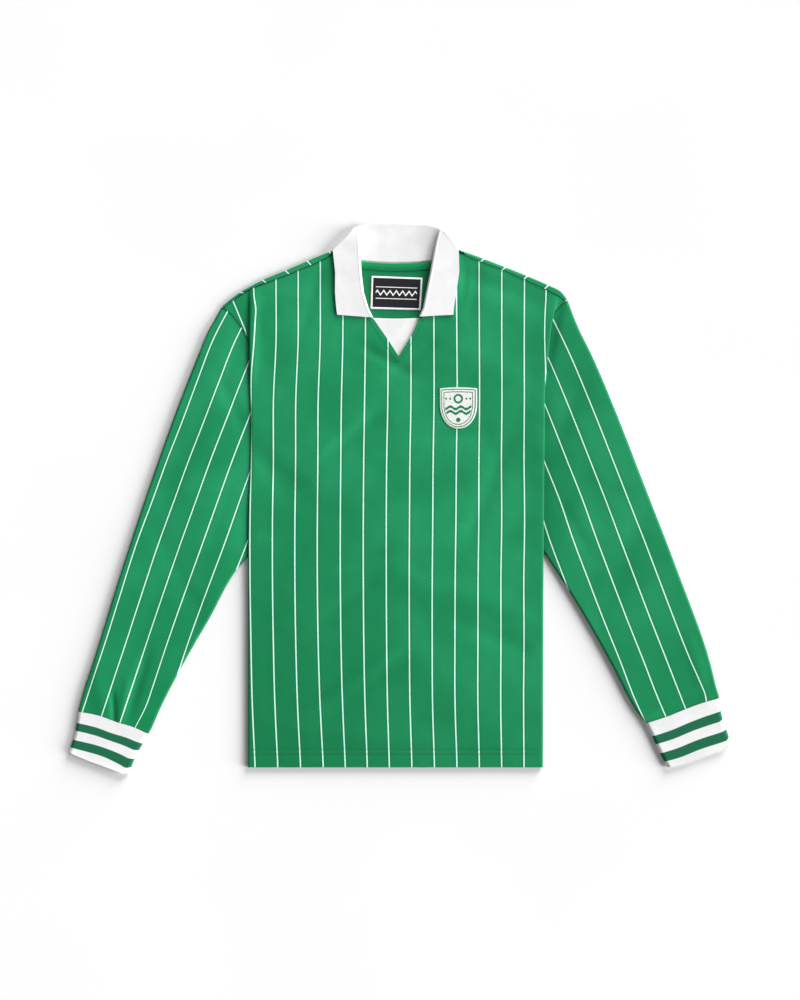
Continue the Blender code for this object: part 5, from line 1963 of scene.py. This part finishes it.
@dataclass
class SmallPieces:
    """The label, the neck tape, the triangle behind the V and the chest badge.

    A design is the highest of its motifs' values. Each is above 0 on the motif and falls by about 1 a
    millimetre.
    """

    insert_top: float = 639.0
    insert_half: float = 41.0
    insert_tip: float = 572.0
    insert_tip_half: float = 4.0
    insert_level: float = 2.4
    insert_lean: float = 3.0  # how far its top lies to the wearer's right of its tip
    insert_sag: float = 1.6  # how far the middle of its top hangs down
    tape_depth: float = 10.5
    badge_centre: Pair = (86.1, 509.5)
    badge_width: float = 53.0
    badge_height: float = 57.0
    badge_line: float = 6.2  # of its inner line, in from its outline
    badge_field: float = 7.6  # where its motifs start
    crest: float = 14.0  # of the ring and the dots, up from its middle
    ring_radius: float = 5.4
    dots: Pair = (11.5, 17.0)  # across, on both sides of the ring
    dot_radius: float = 1.5
    waves: Pair = (1.0, -5.5)  # up from its middle
    wave_rise: float = 1.8
    wave_half: float = 7.5  # half their length
    ball_drop: float = 16.0
    ball_radius: float = 3.2
    label_size: Pair = (72.0, 46.0)
    label_border: float = 2.5
    motif_half: float = 29.3  # half the length of the label's zigzag and lines
    line_place: float = 8.0  # of its two lines, up and down from the middle
    zigzag_height: float = 3.2
    zigzag_pitch: float = 9.0

    def plate(self, name: str, grid: Array, low: Array, thickness: float, flat: Array) -> Piece:
        """A thin piece over a grid of plan points, with softly rounded edges.

        Args:
            name: the piece's name.
            grid: (rows, columns, 2) plan points.
            low: height of its lower face at each.
            thickness: of the piece.
            flat: flat places in metres.

        Returns:
            The piece.
        """
        rim = np.concatenate([grid[0], grid[:, -1], grid[-1][::-1], grid[:, 0][::-1]])
        soft = 0.35 * (1 - ease(distance_to(grid, rim) / 1.2))
        return open_wall(name, np.dstack([grid, low + thickness - soft]), np.dstack([grid, low]), flat)

    def label(self) -> Piece:
        """The woven label on the inside of the back: a pale border and a zigzag between two thin lines.

        Returns:
            The label.
        """
        a, b, c, d = (np.array(corner) for corner in LABEL_CORNERS)
        s, t = np.linspace(0, 1, 121)[None, :, None], np.linspace(0, 1, 81)[:, None, None]
        grid = (1 - t) * ((1 - s) * a + s * b) + t * ((1 - s) * d + s * c)
        width, height = self.label_size
        x, y = np.broadcast_arrays((s[..., 0] - 0.5) * width, (0.5 - t[..., 0]) * height)
        border = self.label_border - np.minimum(0.5 * width - np.abs(x), 0.5 * height - np.abs(y))
        wave = self.zigzag_height * (2 * np.abs(2 * np.mod(x / self.zigzag_pitch, 1) - 1) - 1)
        inside = self.motif_half - np.abs(x)
        zigzag = np.minimum(0.8 - 0.6 * np.abs(y - wave), inside)
        lines = np.minimum(0.5 - np.abs(np.abs(y) - self.line_place), inside)
        pale = np.maximum.reduce([border, zigzag, lines])
        low = np.full(grid.shape[:2], CLOTH + SEAM_GAP)
        piece = self.plate("label_weave", grid, low, TRIM, np.dstack([x, y]) * MM)
        add_values(piece, "pale", np.tile(pale.ravel(), 2))
        return piece

    def tape(self) -> Piece:
        """The tape over the back neck seam, inside.

        Returns:
            The tape.
        """
        upper = along(TAPE_UPPER, np.linspace(0, 1, 90))
        down = np.linspace(0, self.tape_depth, 14)
        grid = np.stack([upper - (0, drop) for drop in down])
        u = np.repeat(lengths(upper)[None], len(down), axis=0)
        flat = np.dstack([u, np.repeat(down[:, None], len(upper), axis=1)]) * MM
        return self.plate("neck_tape_weave", grid, np.full(grid.shape[:2], CLOTH + SEAM_GAP), TRIM, flat)

    def insert(self) -> Piece:
        """The triangle behind the V of the front.

        Returns:
            The triangle.
        """
        down, across = np.linspace(0, 1, 50)[:, None], np.linspace(-1, 1, 60)[None, :]
        half = self.insert_half + (self.insert_tip_half - self.insert_half) * down
        x = V_TIP[0] - self.insert_lean * (1 - down) + half * across
        y = self.insert_top + (self.insert_tip - self.insert_top) * down
        y = y - self.insert_sag * (1 - down) * (1 - across**2)
        grid = np.dstack([x, y])
        return self.plate("v_insert_rib", grid, np.full(grid.shape[:2], self.insert_level), CLOTH, grid * MM)

    def badge(self) -> Piece:
        """The patch on the chest: a shield with a ring and dots over two wavy lines and a ball.

        Returns:
            The badge.
        """
        down, across = np.linspace(0, 1, 110)[:, None], np.linspace(-1, 1, 100)[None, :]
        half = 0.5 * self.badge_width * np.sqrt(1 - np.clip((down - 0.35) / 0.653, 0, 1) ** 2.4)
        x = half * across
        y = self.badge_height * (0.5 - down) + 1.5 * (1 - across**2) * (1 - down) ** 4
        grid = np.dstack([x, y]) + np.array(self.badge_centre)
        rim = np.concatenate([grid[0], grid[:, -1], grid[-1][::-1], grid[:, 0][::-1]])
        edge = distance_to(grid, rim)
        curve = self.wave_rise * np.sin(x * math.pi / self.wave_half)
        waves = [1.5 - 0.8 * np.abs(y - level - curve) for level in self.waves]
        ring = 1.4 - np.abs(np.hypot(x, y - self.crest) - self.ring_radius)
        ball = self.ball_radius - np.hypot(x, y + self.ball_drop)
        dots = [self.dot_radius - np.hypot(np.abs(x) - place, y - self.crest) for place in self.dots]
        line = 0.55 - np.abs(edge - self.badge_line)
        green = np.maximum.reduce([*waves, ring, ball, *dots, line])
        green = np.where(edge < self.badge_field, line, green)
        low = front_height(grid[..., 0], grid[..., 1]) + SEAM_GAP * 0.5
        piece = self.plate("badge_embroidery", grid, low, TRIM, np.dstack([x, y]) * MM)
        add_values(piece, "green", np.tile(green.ravel(), 2))
        add_values(piece, "edge", np.tile(edge.ravel(), 2))
        return piece


@dataclass
class SewnLines:
    """Where the stitches run, as points on the cloth's faces."""

    lift: float = 0.25
    hem_span: Pair = (-206.0, 200.5)
    back_hem_span: Pair = (-202.0, 196.0)
    step: float = 3.0  # from point to point
    shoulder_gap: float = 1.6  # below the shoulder seam
    vee_gap: float = 6.4
    vee_drop: float = 9.5  # below the tip of the V
    vee_step: float = 2.5
    tape_rows: Pair = (6.2, 9.2)

    def on_front(self, plan: Array) -> Array:
        """Points just over the front's outer face."""
        return np.column_stack([plan, front_height(plan[:, 0], plan[:, 1]) + self.lift])

    def hem(self) -> list[Array]:
        """The two rows above the front's hem."""
        x = np.arange(*self.hem_span, self.step)
        return [self.on_front(np.column_stack([x, np.full(len(x), y)])) for y in HEM_LINES]

    def back_hem(self) -> list[Array]:
        """The two rows above the back's hem, on its underside."""
        x = np.arange(*self.back_hem_span, self.step)
        return [np.column_stack([x, np.full(len(x), y), np.full(len(x), -0.05)]) for y in HEM_LINES]

    def shoulders(self) -> list[Array]:
        """Rows just below the shoulder seams.

        Returns:
            One run of points for each side.
        """
        rows = []
        for side, start in ((RIGHT, 1), (LEFT, 0)):
            run = self.on_front(evenly(FRONT_TOP[side][start:], self.step) - (0.0, self.shoulder_gap))
            gap = side.inward * (run[:, 0] - fold_x(side, run[:, 1]))
            end = side.inward * (FRONT_TOP[side][0][0] - float(fold_x(side, SHOULDER_ROW)))
            level = np.interp(gap, [end, 0.2 * end, 0.0, 1.6, 4.5, 10.0], [0.0, 0.4, 0.5, 0.65, 0.8, 1.0])
            run[:, 2] = OVER_SLEEVE + level * (run[:, 2] - OVER_SLEEVE)
            rows.append(run)
        return rows

    def vee(self) -> list[Array]:
        """The row that follows the V.

        Returns:
            One run of points.
        """
        line = np.array([*V_EDGE[RIGHT], V_TIP, *V_EDGE[LEFT][::-1]])
        tangent = np.gradient(line, axis=0)
        outward = np.stack([tangent[:, 1], -tangent[:, 0]], axis=1)
        outward /= np.linalg.norm(outward, axis=1, keepdims=True)
        moved = line + self.vee_gap * outward
        tip = len(V_EDGE[RIGHT])
        moved[tip] = (V_TIP[0], V_TIP[1] - self.vee_drop)
        right, left = (evenly(run, self.vee_step) for run in (moved[: tip + 1], moved[tip:]))
        return [self.on_front(np.vstack([right, left[1:]]))]

    def tape(self) -> list[Array]:
        """Two rows along the neck tape.

        Returns:
            One run of points for each row.
        """
        upper = along(TAPE_UPPER, np.linspace(0.02, 0.98, 60))
        level = CLOTH + SEAM_GAP + TRIM + 0.1
        return [np.column_stack([upper - (0, down), np.full(len(upper), level)]) for down in self.tape_rows]


@dataclass
class Studio:
    """White paper floor, two low soft key lights from the right, a large fill, and the camera overhead."""

    height: float = 3.0  # of the camera over the shirt's face
    face: float = 0.005
    centre: Pair = (0.0001, -0.0031)
    frame_height: float = 1.42
    sensor: float = 36.0  # millimetres
    floor_half: float = 8.0
    floor_level: float = -0.0004
    key_strength: float = 4.4  # of each of the two
    key_spread: float = 36.0  # degrees, as the next
    key_height: float = 18.0
    keys_from: Pair = (-10.0, 56.0)  # degrees from +X towards +Y
    world_strength: float = 0.22

    def floor(self) -> None:
        """The paper that the shirt lies on."""
        mesh = bpy.data.meshes.new("floor_paper")
        half, level = self.floor_half, self.floor_level
        corners = [(-half, -half, level), (half, -half, level), (half, half, level), (-half, half, level)]
        mesh.from_pydata(corners, [], [(0, 1, 2, 3)])
        paper = bpy.data.objects.new("floor_paper", mesh)
        mesh.materials.append(Paper().make())
        bpy.context.scene.collection.objects.link(paper)

    def lights(self) -> None:
        """The two keys and the white surroundings, which fill."""
        for number, turn in enumerate(self.keys_from):
            key = bpy.data.lights.new(f"key_{number}", "SUN")
            key.energy, key.angle = self.key_strength, math.radians(self.key_spread)
            lamp = bpy.data.objects.new(f"key_{number}", key)
            lamp.rotation_euler = (math.radians(90 - self.key_height), 0.0, math.radians(90 + turn))
            bpy.context.scene.collection.objects.link(lamp)
        world = bpy.data.worlds.new("white_surroundings")
        world.use_nodes = True
        sky = world.node_tree.nodes["Background"]
        sky.inputs["Color"].default_value = (1.0, 1.0, 1.0, 1.0)
        sky.inputs["Strength"].default_value = self.world_strength
        bpy.context.scene.world = world

    def camera(self) -> None:
        """Straight down, with the photograph's frame."""
        data = bpy.data.cameras.new("camera")
        data.sensor_width = self.sensor
        data.lens = self.sensor * self.height / self.frame_height
        data.dof.use_dof = False
        eye = bpy.data.objects.new("camera", data)
        eye.location = (*self.centre, self.height + self.face)
        bpy.context.scene.collection.objects.link(eye)
        bpy.context.scene.camera = eye

    def build(self) -> None:
        """Sets up the whole studio."""
        self.floor()
        self.lights()
        self.camera()
        bpy.context.scene.view_settings.view_transform = "Standard"


def main() -> None:
    """Builds the shirt and the studio."""
    logging.basicConfig(level=logging.INFO, format="%(name)s: %(message)s")
    # the body's jersey has painted shade, darker towards the hem and the wearer's right
    striped = Jersey(shade_lean=1.2, low="#0B7948", shade_fall=(-0.65, 0.15, 1.0)).make()
    sleeve_look = Jersey(name="interlock_jersey_sleeve", lit="#1C925F", deep="#108653").make()
    plain = Jersey(name="interlock_jersey_reverse", lit="#188456", deep="#0F794B", striped=False).make()
    rib = FlatRib().make()
    banded = FlatRib(name="flat_knit_rib_banded", white="#F0F0F0", shade="#E7E7E8", banded=True).make()
    tape, label, embroidery = Tape().make(), WovenLabel().make(), Embroidery().make()
    relief, stitching = RibRelief(), StitchRow()
    cloths = {
        "back": dress(mark_folds(BackPanel().build()), "back", striped, plain),
        "front": dress(mark_folds(FrontPanel().build()), "front", striped, plain),
        "collar": dress(Collar().build(), "collar", rib, rib),
    }
    for side in Side:
        sleeve, cuff = f"sleeve_{side.value}", f"cuff_{side.value}"
        cloths[sleeve] = dress(mark_folds(Sleeve(side=side).build()), sleeve, sleeve_look, plain)
        cloths[cuff] = dress(Cuff(side=side).build(relief, banded), cuff, banded)
    small = SmallPieces()
    cloths["v_insert"] = dress(small.insert(), "v_insert", rib, rib)
    cloths["neck_tape"] = dress(small.tape(), "neck_tape", tape, tape)
    cloths["label"] = dress(small.label(), "label", label, label)
    cloths["badge"] = dress(small.badge(), "badge", embroidery, embroidery)
    lines = SewnLines()
    Sewing("hem_stitches_front", "front").build(stitching, lines.hem())
    Sewing("hem_stitches_back", "back").build(stitching, lines.back_hem())
    Sewing("shoulder_stitches", "front", pitch=2.6, length=1.7).build(stitching, lines.shoulders())
    Sewing("v_stitches", "front", pitch=2.6, length=1.8, radius=0.25).build(stitching, lines.vee())
    on_tape = Sewing("tape_stitches", "neck_tape", colour="#08703E", pitch=2.6, length=2.0)
    on_tape.build(stitching, lines.tape())
    Studio().build()


if __name__ == "__main__":
    main()
